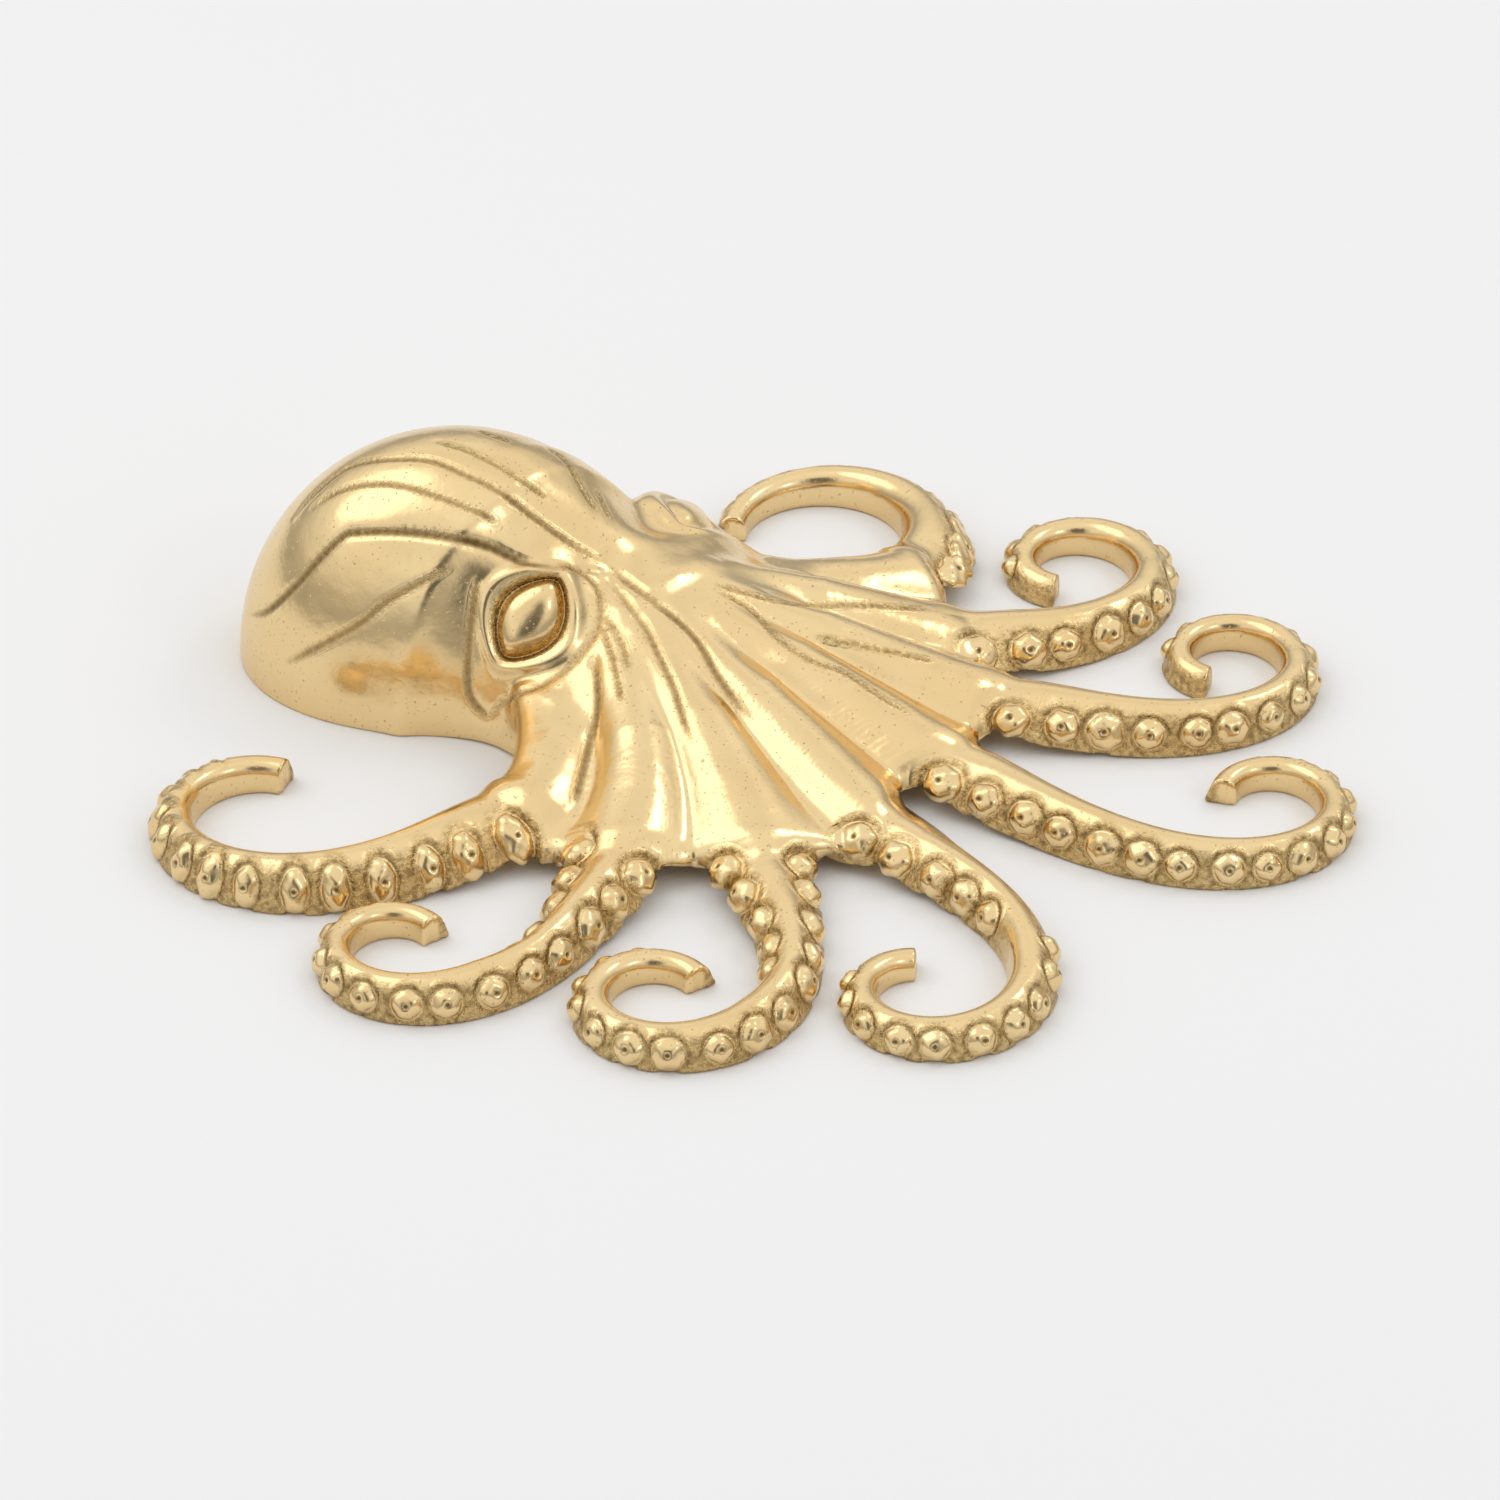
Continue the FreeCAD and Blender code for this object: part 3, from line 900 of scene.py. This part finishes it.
def far_eye_axes():
    side, back, up = far_eye_shares
    middle = np.array((
        side * neck_half_width + shift_x,
        neck_offset + back * (mantle_front_offset - neck_offset) + shift_y,
        up * neck_height,
    )) + far_eye_shift
    out = outward(*far_eye_way)
    level = np.cross((0, 0, 1), out)
    level /= np.linalg.norm(level)
    a, b = polar(1.0, far_eye_tilt)
    return square_axes(middle, level * a + np.cross(out, level) * b, out)


def almond(a, b, scale=1.0):
    """How far a place is from an almond's middle: 1 on its pointed outline."""
    u = a / (scale * eye_half_length)
    v = b / (scale * eye_half_width)
    return np.sqrt(v ** 2 + almond_blunt) + u ** 2 - almond_trim


def along_axes(x, y, z, middle, axes):
    """Places measured along the given axes from a middle."""
    dx, dy, dz = x - middle[0], y - middle[1], z - middle[2]
    return [dx * way[0] + dy * way[1] + dz * way[2] for way in axes]


def add_eye(grid, eye, swell, depth):
    """A rounded mound with a raised lid, a sunk almond and a pointed eyeball in it."""
    middle, *axes = eye
    reach = 2 * eye_half_length
    cuts, x, y, z = grid.window(middle - reach, middle + reach)
    a, b, c = along_axes(x, y, z, middle, axes)
    wide, narrow, high = mound_sizes
    round_value = (a / wide) ** 2 + (b / narrow) ** 2 + ((c + mound_sink - swell) / high) ** 2
    mound = (np.sqrt(round_value) - 1) * high
    field = soft_min(grid.field[cuts], mound, mound_join)
    ring = almond(a, b)
    near = np.clip(eye_reach_gain - np.abs(c - eye_level) / eye_reach, 0, 1)
    lid = bell(ring, *lid_ring) * near
    pit = smooth_step(np.clip((recess_ring - ring) * recess_gain, 0, 1)) * near
    field = field - lid_height * lid + depth * pit
    ball = np.maximum(almond(a, b - ball_shift, ball_scale), 0)
    dome = (np.sqrt(ball ** 2 + ((c + ball_sink - swell) / ball_height) ** 2) - 1) * ball_rise
    field = soft_min(field, dome, ball_join)
    grid.field[cuts] = field.astype(np.float32)
    # A rough trench round the eyeball, which the brass darkens, partly as painted shade
    trench = bell(ring, *trench_ring) * near
    grid.work[cuts] = np.maximum(grid.work[cuts], trench_rough * trench)


def add_suckers(grid, arm, line):
    """Domes with a dimple along the outer wall of an arm, and a few on the inner wall."""
    outer_start = late_row_share if arm == late_row_arm else outer_row_start
    rows = [(outer_side(arm), outer_start, outer_row_end, outer_lean_share)]
    if arm in inner_row_arms:
        rows.append((-outer_side(arm), inner_row_start, inner_row_end, inner_lean_share))
    length = arm_shares[arm][3] * arm_length
    stretch, swell = disc_shares, sucker_swell
    if arm == 0:
        stretch = bean_shares
    if arm == len(arm_shares) - 1:
        stretch, swell = leaf_shares, leaf_swell_share * sucker_swell
    for side, first, end, lean in rows:
        last = -1.0
        drawn = 0
        for k, share in enumerate(line["share"]):
            run = max(share, 0.0)
            spacing = sucker_pitch * mix(sucker_root_pitch_share, sucker_tip_pitch_share, run)
            beat = spacing_beat * drawn + spacing_arm_beat * arm
            spacing *= 1 + spacing_uneven_share * math.sin(beat)
            if first <= share <= end and (share - last) * length >= spacing:
                last = share
                drawn += 1
                add_sucker(grid, line, k, side, lean, stretch, swell)


def add_sucker(grid, line, k, side, lean_share, stretch, swell):
    """One dome at a line's station, on the leaning wall on the given side."""
    way, floor, top, half, share = (
        line[key][k] for key in ("way", "floor", "top", "half", "share")
    )
    rise = top - floor
    uneven = 1 + sucker_uneven_share * math.sin(k * sucker_uneven_beat)
    radius = uneven * mix(sucker_radius, sucker_tip_radius, share)
    swell = swell * mix(1.0, sucker_tip_swell_share, share)
    tilt = lean_share * half / rise + sucker_tilt
    level = 1 / math.hypot(1, tilt)
    along = (math.cos(way), math.sin(way), 0.0)
    aside = side * np.array((-along[1], along[0], 0.0))
    out = (aside + (0, 0, tilt)) * level
    up = np.cross(out, along)
    up = up * np.sign(up[2])
    stand = half * (1 - lean_share / 2)
    middle = aside * stand + (line["x"][k], line["y"][k], floor + rise / 2)
    reach = radius + sucker_room
    cuts, x, y, z = grid.window(middle - reach, middle + reach)
    a, b, c = along_axes(x, y, z, middle, (along, up, out))
    flat = np.sqrt((a / (radius * stretch[0])) ** 2 + (b / (radius * stretch[1])) ** 2)
    dome = (np.sqrt(flat ** 2 + ((c + sucker_sink) / swell) ** 2) - 1) * swell
    dents = np.sin(a * dent_beat_along + k) * np.cos(b * dent_beat_up + 2 * k)
    moat = bell(flat, *moat_ring) * moat_depth * bell(c, moat_reach)
    field = soft_min(grid.field[cuts] + moat, dome + sucker_dent * dents, sucker_join)
    crown = swell - sucker_sink
    dimple = sucker_dimple - np.sqrt(a ** 2 + b ** 2 + (c - crown - dimple_lift) ** 2)
    grid.field[cuts] = soft_max(field, dimple, dimple_round).astype(np.float32)
    # Rough ground round the dome and none on it; the brass darkens this ground, partly as
    # painted shade
    rough = ground_rough * bell(flat, *ground_ring) * bell(c, ground_reach)
    bare = np.clip((bare_ring - flat) * bare_gain, 0, 1) * bell(c, bare_reach)
    grid.work[cuts] = np.maximum(grid.work[cuts], rough) * (1 - bare)
    # Painted shade: a dark ring in the crevice round the dome's foot and a dark spot in its
    # dimple, kept in carve after the grooves have dented the skin, so they only colour it
    dark = crevice_shade * bell(flat, *crevice_ring) * bell(c, crevice_reach)
    hole = bell(np.hypot(a, b), sucker_hole) * bell(c, hole_reach, crown)
    grid.carve[cuts] = np.maximum(grid.carve[cuts], np.maximum(dark, hole))


def camera_ray(pixels):
    """Unit ways from the camera through pixels of the photograph."""
    eye = Vector(camera_place)
    ahead = (Vector(camera_target) - eye).normalized()
    right = ahead.cross(Vector((0, 0, 1))).normalized()
    up = right.cross(ahead)
    scale = camera_film / camera_lens / picture_width
    across = (pixels[:, 0] - picture_width / 2) * scale
    down = (pixels[:, 1] - picture_width / 2) * scale
    ways = np.array(ahead) + across[:, None] * np.array(right) - down[:, None] * np.array(up)
    return ways / np.linalg.norm(ways, axis=1)[:, None]


def land_on_skin(grid, pixels):
    """Where the rays of some pixels first meet the casting, in millimetres."""
    ways = camera_ray(pixels)
    start = np.array(camera_place) * per_metre
    travel = (mantle_height + margin - start[2]) / ways[:, 2]
    landed = np.zeros(len(pixels), bool)
    for _ in range(ray_rounds):
        places = start + ways * travel[:, None]
        value = grid.sample(grid.field, places)
        landed |= (value < ray_touch) | (places[:, 2] < 0)
        step = np.clip(value * ray_step_share, *ray_steps)
        travel = np.where(landed, travel, travel + step)
    return start + ways * travel[:, None]


def groove_fade(run, share, depth):
    """A groove's strength along its run: beaded, and fading out at both ends."""
    ends = np.minimum(share, 1 - share) * groove_fade_gain + groove_end_share
    beat = 2 * math.pi / groove_bead_pitch
    beads = np.cos(run * beat) * np.cos(run * beat * groove_bead_beat_share + depth)
    return np.clip(ends, 0, 1) * (groove_bead_level + groove_bead_share * beads)


def cut_grooves(grid):
    """Engraved lines with soft shoulders, which run out to nothing at their ends."""
    for depth, half, pixels in groove_pixels:
        line = catmull(np.array(pixels, float), groove_stations * len(pixels))
        places = land_on_skin(grid, line)
        jump = np.linalg.norm(np.diff(places, axis=0), axis=1)
        run = np.concatenate([[0], np.cumsum(jump)])
        fade = groove_fade(run, np.linspace(0, 1, len(places)), depth)
        for i in range(len(places) - 1):
            if jump[i] > groove_jump:
                continue
            count = max(1, int(jump[i] / groove_step))
            for s in range(count):
                place = places[i] + (places[i + 1] - places[i]) * s / count
                cuts, x, y, z = grid.window(place - groove_room, place + groove_room)
                gap = (x - place[0]) ** 2 + (y - place[1]) ** 2 + (z - place[2]) ** 2
                shoulder = groove_shoulder_share * np.exp(-gap / groove_shoulder ** 2)
                cut = groove_share * depth * fade[i] * (np.exp(-gap / half ** 2) + shoulder)
                grid.carve[cuts] = np.maximum(grid.carve[cuts], cut)
                rough = groove_rough * fade[i] * np.exp(-gap / groove_rough_reach ** 2)
                grid.work[cuts] = np.maximum(grid.work[cuts], rough)
    # The engraved lines dent the skin here; the brass also darkens them by carve, as painted
    # shade
    grid.field += grid.carve


def build_field(low, high):
    """The whole casting's field, with the arm under each place, and the eyes."""
    grid = Grid(low, high)
    plane = grid.field.shape[:2]
    labels = {
        "edge": np.full(plane, far),
        "arm": np.zeros(plane, int),
        "share": np.full(plane, -1.0),
    }
    add_web(grid)
    add_body(grid)
    body = grid.field
    grid.field = np.full_like(body, far)
    lines = [arm_line(arm) for arm in range(len(arm_shares))]
    for arm, line in enumerate(lines):
        add_arm(grid, labels, arm, line)
    grid.field = soft_min(body, grid.field, arm_blend).astype(np.float32)
    eyes = {"right_eye": near_eye_axes(grid), "left_eye": far_eye_axes()}
    add_eye(grid, eyes["right_eye"], 0.0, recess_depth)
    add_eye(grid, eyes["left_eye"], far_eye_swell, recess_depth * far_recess_share)
    cut_grooves(grid)
    for arm, line in enumerate(lines):
        add_suckers(grid, arm, line)
    z = grid.axes[2][None, None, :].astype(np.float32)
    grid.field = np.maximum(grid.field, -z)
    return grid, labels, eyes


def unit_rows(rows):
    return rows / np.maximum(np.linalg.norm(rows, axis=1), tiny)[:, None]


def skin(grid):
    """A mesh of quads on the field's zero, with its corners moved onto it."""
    volume = openvdb.FloatGrid(far)
    volume.copyFromArray(grid.field)
    corners, quads = volume.convertToQuads(isovalue=0.0)
    places = grid.low + corners.astype(float) * pitch
    for _ in range(skin_rounds):
        value = grid.sample(grid.field, places)
        slope = grid.slope(places)
        steep = np.maximum((slope ** 2).sum(1), least_steepness)
        step = np.clip(value / steep, -skin_step, skin_step)
        places = places - slope * step[:, None]
    quads = quads[:, ::-1].astype(int)
    a, b, c = places[quads[:, 0]], places[quads[:, 1]], places[quads[:, 2]]
    facing = np.einsum("ij,ij->i", np.cross(b - a, c - a), grid.slope(a))
    if np.median(facing) < 0:
        quads = quads[:, ::-1]
    return places, quads


def piece_of(grid, labels, eyes, places):
    """The name of the casting's section that each place belongs to."""
    cells = np.rint((places[:, :2] - grid.low[:2]) / pitch).astype(int)
    i, j = np.clip(cells, 0, np.array(grid.field.shape[:2]) - 1).T
    names = np.full(len(places), "web", dtype="U12")
    names[places[:, 1] > neck_offset + shift_y] = "head"
    names[places[:, 1] > mantle_front_offset + shift_y] = "mantle"
    for name, (middle, long_axis, short_axis, out) in eyes.items():
        away = places - middle
        ring = almond(away @ long_axis, away @ short_axis)
        names[(ring < eye_seam) & (away @ out > -eye_seam_depth)] = name
    on_arm = (labels["share"][i, j] > 0) & (labels["edge"][i, j] < arm_seam_edge)
    on_arm &= (places[:, 2] < arm_seam_top) & (mantle_distance(*places.T) > arm_seam_gap)
    on_arm &= ~((names == "head") & (np.abs(places[:, 0] - shift_x) < neck_half_width))
    for arm in range(len(arm_shares)):
        names[on_arm & (labels["arm"][i, j] == arm + 1)] = f"arm_{arm + 1}"
    return names


def rim_loops(quads):
    """Closed loops of corners round the open rims of a set of quads."""
    edges = np.concatenate([quads[:, [k, (k + 1) % 4]] for k in range(4)])
    edges = edges[edges[:, 0] != edges[:, 1]]
    width = quads.max() + 1
    keys = edges[:, 0] * width + edges[:, 1]
    back = edges[:, 1] * width + edges[:, 0]
    open_edges = edges[~np.isin(keys, back)]
    following = {}
    for a, b in open_edges:
        following.setdefault(int(b), []).append(int(a))
    loops = []
    while following:
        start = next(iter(following))
        loop = [start]
        place = start
        while following.get(place):
            nearby = following[place]
            place = nearby.pop()
            if not nearby:
                del following[loop[-1]]
            if place == start:
                break
            loop.append(place)
        if len(loop) > 2:
            loops.append(loop)
    return loops


def cap_middle(corners, loop, eyes):
    """A point under a rim: its middle, sunk deep where the rim goes round an eye."""
    middle = corners[loop].mean(0)
    for eye_middle, _, _, out in eyes.values():
        if np.linalg.norm(middle - eye_middle) < cap_depth:
            return middle - out * cap_depth
    return middle


def close_rims(grid, eyes, corners, faces):
    """Caps on a piece's cut ends, a little inside the skin: all corners and faces."""
    added = []
    caps = []
    for loop in rim_loops(np.array(faces)):
        first = len(corners) + len(added)
        inward = unit_rows(grid.slope(corners[loop]))
        added += list(corners[loop] - inward * cap_inset)
        added.append(cap_middle(corners, loop, eyes))
        count = len(loop)
        for k in range(count):
            after = (k + 1) % count
            caps.append([loop[k], loop[after], first + after, first + k])
            caps.append([first + k, first + after, first + count])
    if added:
        corners = np.concatenate([corners, added])
    return corners, faces + caps


def make_piece(name, grid, eyes, places, quads, material, bounds):
    """One closed mesh for a section of the casting."""
    used, local = np.unique(quads, return_inverse=True)
    skin_faces = local.reshape(quads.shape).tolist()
    corners, faces = close_rims(grid, eyes, places[used], skin_faces)
    normals = unit_rows(grid.slope(corners))
    corners = np.clip(corners / per_metre, *bounds)
    mesh = bpy.data.meshes.new(name)
    mesh.from_pydata(corners.tolist(), [], faces)
    mesh.update()
    for label, values in (("carve", grid.carve), ("work", grid.work)):
        layer = mesh.attributes.new(label, "FLOAT", "POINT")
        sampled = grid.sample(values, corners * per_metre)
        layer.data.foreach_set("value", sampled.astype(np.float32))
    smooth = np.arange(len(faces)) < len(skin_faces)
    mesh.polygons.foreach_set("use_smooth", smooth)
    mesh.normals_split_custom_set_from_vertices(normals.tolist())
    mesh.materials.append(material)
    piece = bpy.data.objects.new(name, mesh)
    bpy.context.scene.collection.objects.link(piece)
    return piece


def nodes_of(name):
    material = bpy.data.materials.new(name)
    material.use_nodes = True
    return material, material.node_tree


def add_node(tree, kind, settings=(), inputs=()):
    """A shader node with its settings made and its inputs set or linked."""
    node = tree.nodes.new(kind)
    for name, value in dict(settings).items():
        setattr(node, name, value)
    for name, value in dict(inputs).items():
        if isinstance(value, bpy.types.NodeSocket):
            tree.links.new(value, node.inputs[name])
        else:
            node.inputs[name].default_value = value
    return node


def colour_mix(tree, share, a, b):
    """One colour turning into another with a share."""
    node = add_node(tree, "ShaderNodeMix", {"data_type": "RGBA"})
    tree.links.new(share, node.inputs["Factor"])
    colours = {socket.name: socket for socket in node.inputs if socket.type == "RGBA"}
    for name, value in (("A", a), ("B", b)):
        if isinstance(value, tuple):
            colours[name].default_value = value
        else:
            tree.links.new(value, colours[name])
    return [socket for socket in node.outputs if socket.type == "RGBA"][0]


def ramp(tree, source, span, values=(0.0, 1.0)):
    """The source's span stretched to two values."""
    names = ("Value", "From Min", "From Max", "To Min", "To Max")
    inputs = dict(zip(names, (source, *span, *values)))
    return add_node(tree, "ShaderNodeMapRange", inputs=inputs).outputs["Result"]


def brass():
    """Hand-polished cast brass with fine pits and file marks, with painted shade in its crevices
    and on its rough ground.
    """
    material, tree = nodes_of("polished_brass")
    shader = tree.nodes["Principled BSDF"]
    shader.inputs["Metallic"].default_value = 1.0
    place = tree.nodes.new("ShaderNodeTexCoord").outputs["Object"]

    def noise(scale, detail, rough):
        inputs = {"Vector": place, "Scale": scale, "Detail": detail, "Roughness": rough}
        return add_node(tree, "ShaderNodeTexNoise", inputs=inputs).outputs["Fac"]

    def combine(operation, a, b):
        settings = {"operation": operation}
        node = add_node(tree, "ShaderNodeMath", settings, {0: a, 1: b})
        return node.outputs["Value"]

    def attribute(name):
        settings = {"attribute_name": name}
        return add_node(tree, "ShaderNodeAttribute", settings).outputs["Fac"]

    def bump(height, strength, distance, before=None):
        inputs = {"Height": height, "Strength": strength, "Distance": distance}
        if before is not None:
            inputs["Normal"] = before
        return add_node(tree, "ShaderNodeBump", inputs=inputs).outputs["Normal"]

    carve = ramp(tree, attribute("carve"), carve_span)
    work = ramp(tree, attribute("work"), work_span)
    tone = ramp(tree, noise(*tone_noise), tone_span)
    pits = ramp(tree, noise(*pit_noise), pit_span)
    wear = combine("MULTIPLY", work, ramp(tree, noise(*wear_noise), wear_span))
    # Painted shade from carve in the lines, crevices and dimples, together with the worn patches
    # of the rough ground
    dull_and_shade = combine("MAXIMUM", carve, combine("MULTIPLY", wear, wear_share))
    # The rough ground is browner: rough brass, darker partly as painted shade on the sucker
    # walls and round the suckers and eyes
    ground_and_shade = combine("MULTIPLY", work, ground_and_shade_share)
    colour = colour_mix(tree, tone, gold_light, gold_deep)
    colour = colour_mix(tree, ground_and_shade, colour, ground_and_shade_brown)
    colour = colour_mix(tree, dull_and_shade, colour, crevice_shade_brown)
    colour = colour_mix(tree, combine("MULTIPLY", pits, pit_share), colour, pit_brown)
    tree.links.new(colour, shader.inputs["Base Color"])
    rough = ramp(tree, noise(*polish_noise), polish_span, polish_roughness)
    rough = combine("ADD", rough, combine("MULTIPLY", dull_and_shade, dull_roughness))
    tree.links.new(rough, shader.inputs["Roughness"])
    marks = combine("MULTIPLY", noise(*mark_noise), work)
    normal = bump(noise(*wave_noise), *wave_bump)
    normal = bump(noise(*ripple_noise), *ripple_bump, normal)
    normal = bump(marks, *mark_bump, normal)
    normal = bump(combine("MULTIPLY", pits, -1.0), *pit_bump, normal)
    normal = bump(noise(*grain_noise), *grain_bump, normal)
    tree.links.new(normal, shader.inputs["Normal"])
    return material


def pale_floor():
    bpy.ops.mesh.primitive_plane_add(size=floor_size)
    floor = bpy.context.object
    floor.name = "studio_floor"
    material, tree = nodes_of("floor_white")
    inputs = tree.nodes["Principled BSDF"].inputs
    inputs["Base Color"].default_value = (*[floor_brightness] * 3, 1)
    inputs["Roughness"].default_value = floor_roughness
    inputs["Specular IOR Level"].default_value = 0.0
    floor.data.materials.append(material)


def studio_sky():
    """A sky that is darker near the table, with a dim patch behind the camera."""
    world = bpy.data.worlds.new("studio")
    bpy.context.scene.world = world
    world.use_nodes = True
    tree = world.node_tree
    place = tree.nodes.new("ShaderNodeTexCoord").outputs["Generated"]
    split = add_node(tree, "ShaderNodeSeparateXYZ", inputs={"Vector": place})
    height = add_node(tree, "ShaderNodeValToRGB", inputs={"Fac": split.outputs["Z"]})
    height.color_ramp.interpolation = "EASE"
    stops = height.color_ramp.elements
    for stop, value in zip(stops, sky_ends):
        stop.color = (value, value, value, 1)
    for position, value in sky_shares:
        stops.new(position).color = (value, value, value, 1)
    gap = add_node(tree, "ShaderNodeVectorMath", {"operation": "DISTANCE"})
    tree.links.new(place, gap.inputs[0])
    gap.inputs[1].default_value = (Vector(camera_place) - Vector(camera_target)).normalized()
    edge = ramp(tree, gap.outputs["Value"], patch_radii, (patch_brightness, 1.0))
    edge.node.interpolation_type = "SMOOTHSTEP"
    colour = colour_mix(tree, edge, (0.0, 0.0, 0.0, 1), height.outputs["Color"])
    background = tree.nodes["Background"]
    background.inputs["Strength"].default_value = sky_strength
    tree.links.new(colour, background.inputs["Color"])


def add_lamps():
    """Round soft lamps that face the middle of the table."""
    for name, spot, size, watts in lamp_rows:
        lamp = bpy.data.lights.new(name, "AREA")
        lamp.shape = "DISK"
        lamp.size = size
        lamp.energy = watts
        light = bpy.data.objects.new(name, lamp)
        light.location = spot
        light.rotation_euler = (-Vector(spot)).to_track_quat("-Z", "Y").to_euler()
        bpy.context.scene.collection.objects.link(light)


def add_camera():
    data = bpy.data.cameras.new("camera")
    data.lens = camera_lens
    data.sensor_width = camera_film
    camera = bpy.data.objects.new("camera", data)
    camera.location = camera_place
    way = Vector(camera_target) - Vector(camera_place)
    camera.rotation_euler = way.to_track_quat("-Z", "Y").to_euler()
    bpy.context.scene.collection.objects.link(camera)
    bpy.context.scene.camera = camera


def main():
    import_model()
    solids_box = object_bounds()
    low, high = (np.array(corner) for corner in solids_box)
    grid, labels, eyes = build_field(
        (*(low[:2] * per_metre - margin), lowest),
        high * per_metre + margin,
    )
    places, quads = skin(grid)
    names = piece_of(grid, labels, eyes, places[quads].mean(1))
    material = brass()
    nodes = ["mantle", "head", "web", *eyes]
    nodes += [f"arm_{arm + 1}" for arm in range(len(arm_shares))]
    for node in nodes:
        mine = quads[names == node]
        piece = make_piece(f"{node}_cast", grid, eyes, places, mine, material, (low, high))
        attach(piece, "root")
        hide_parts(node)
    pale_floor()
    studio_sky()
    add_lamps()
    add_camera()
    bpy.context.scene.view_settings.view_transform = "Standard"


main()
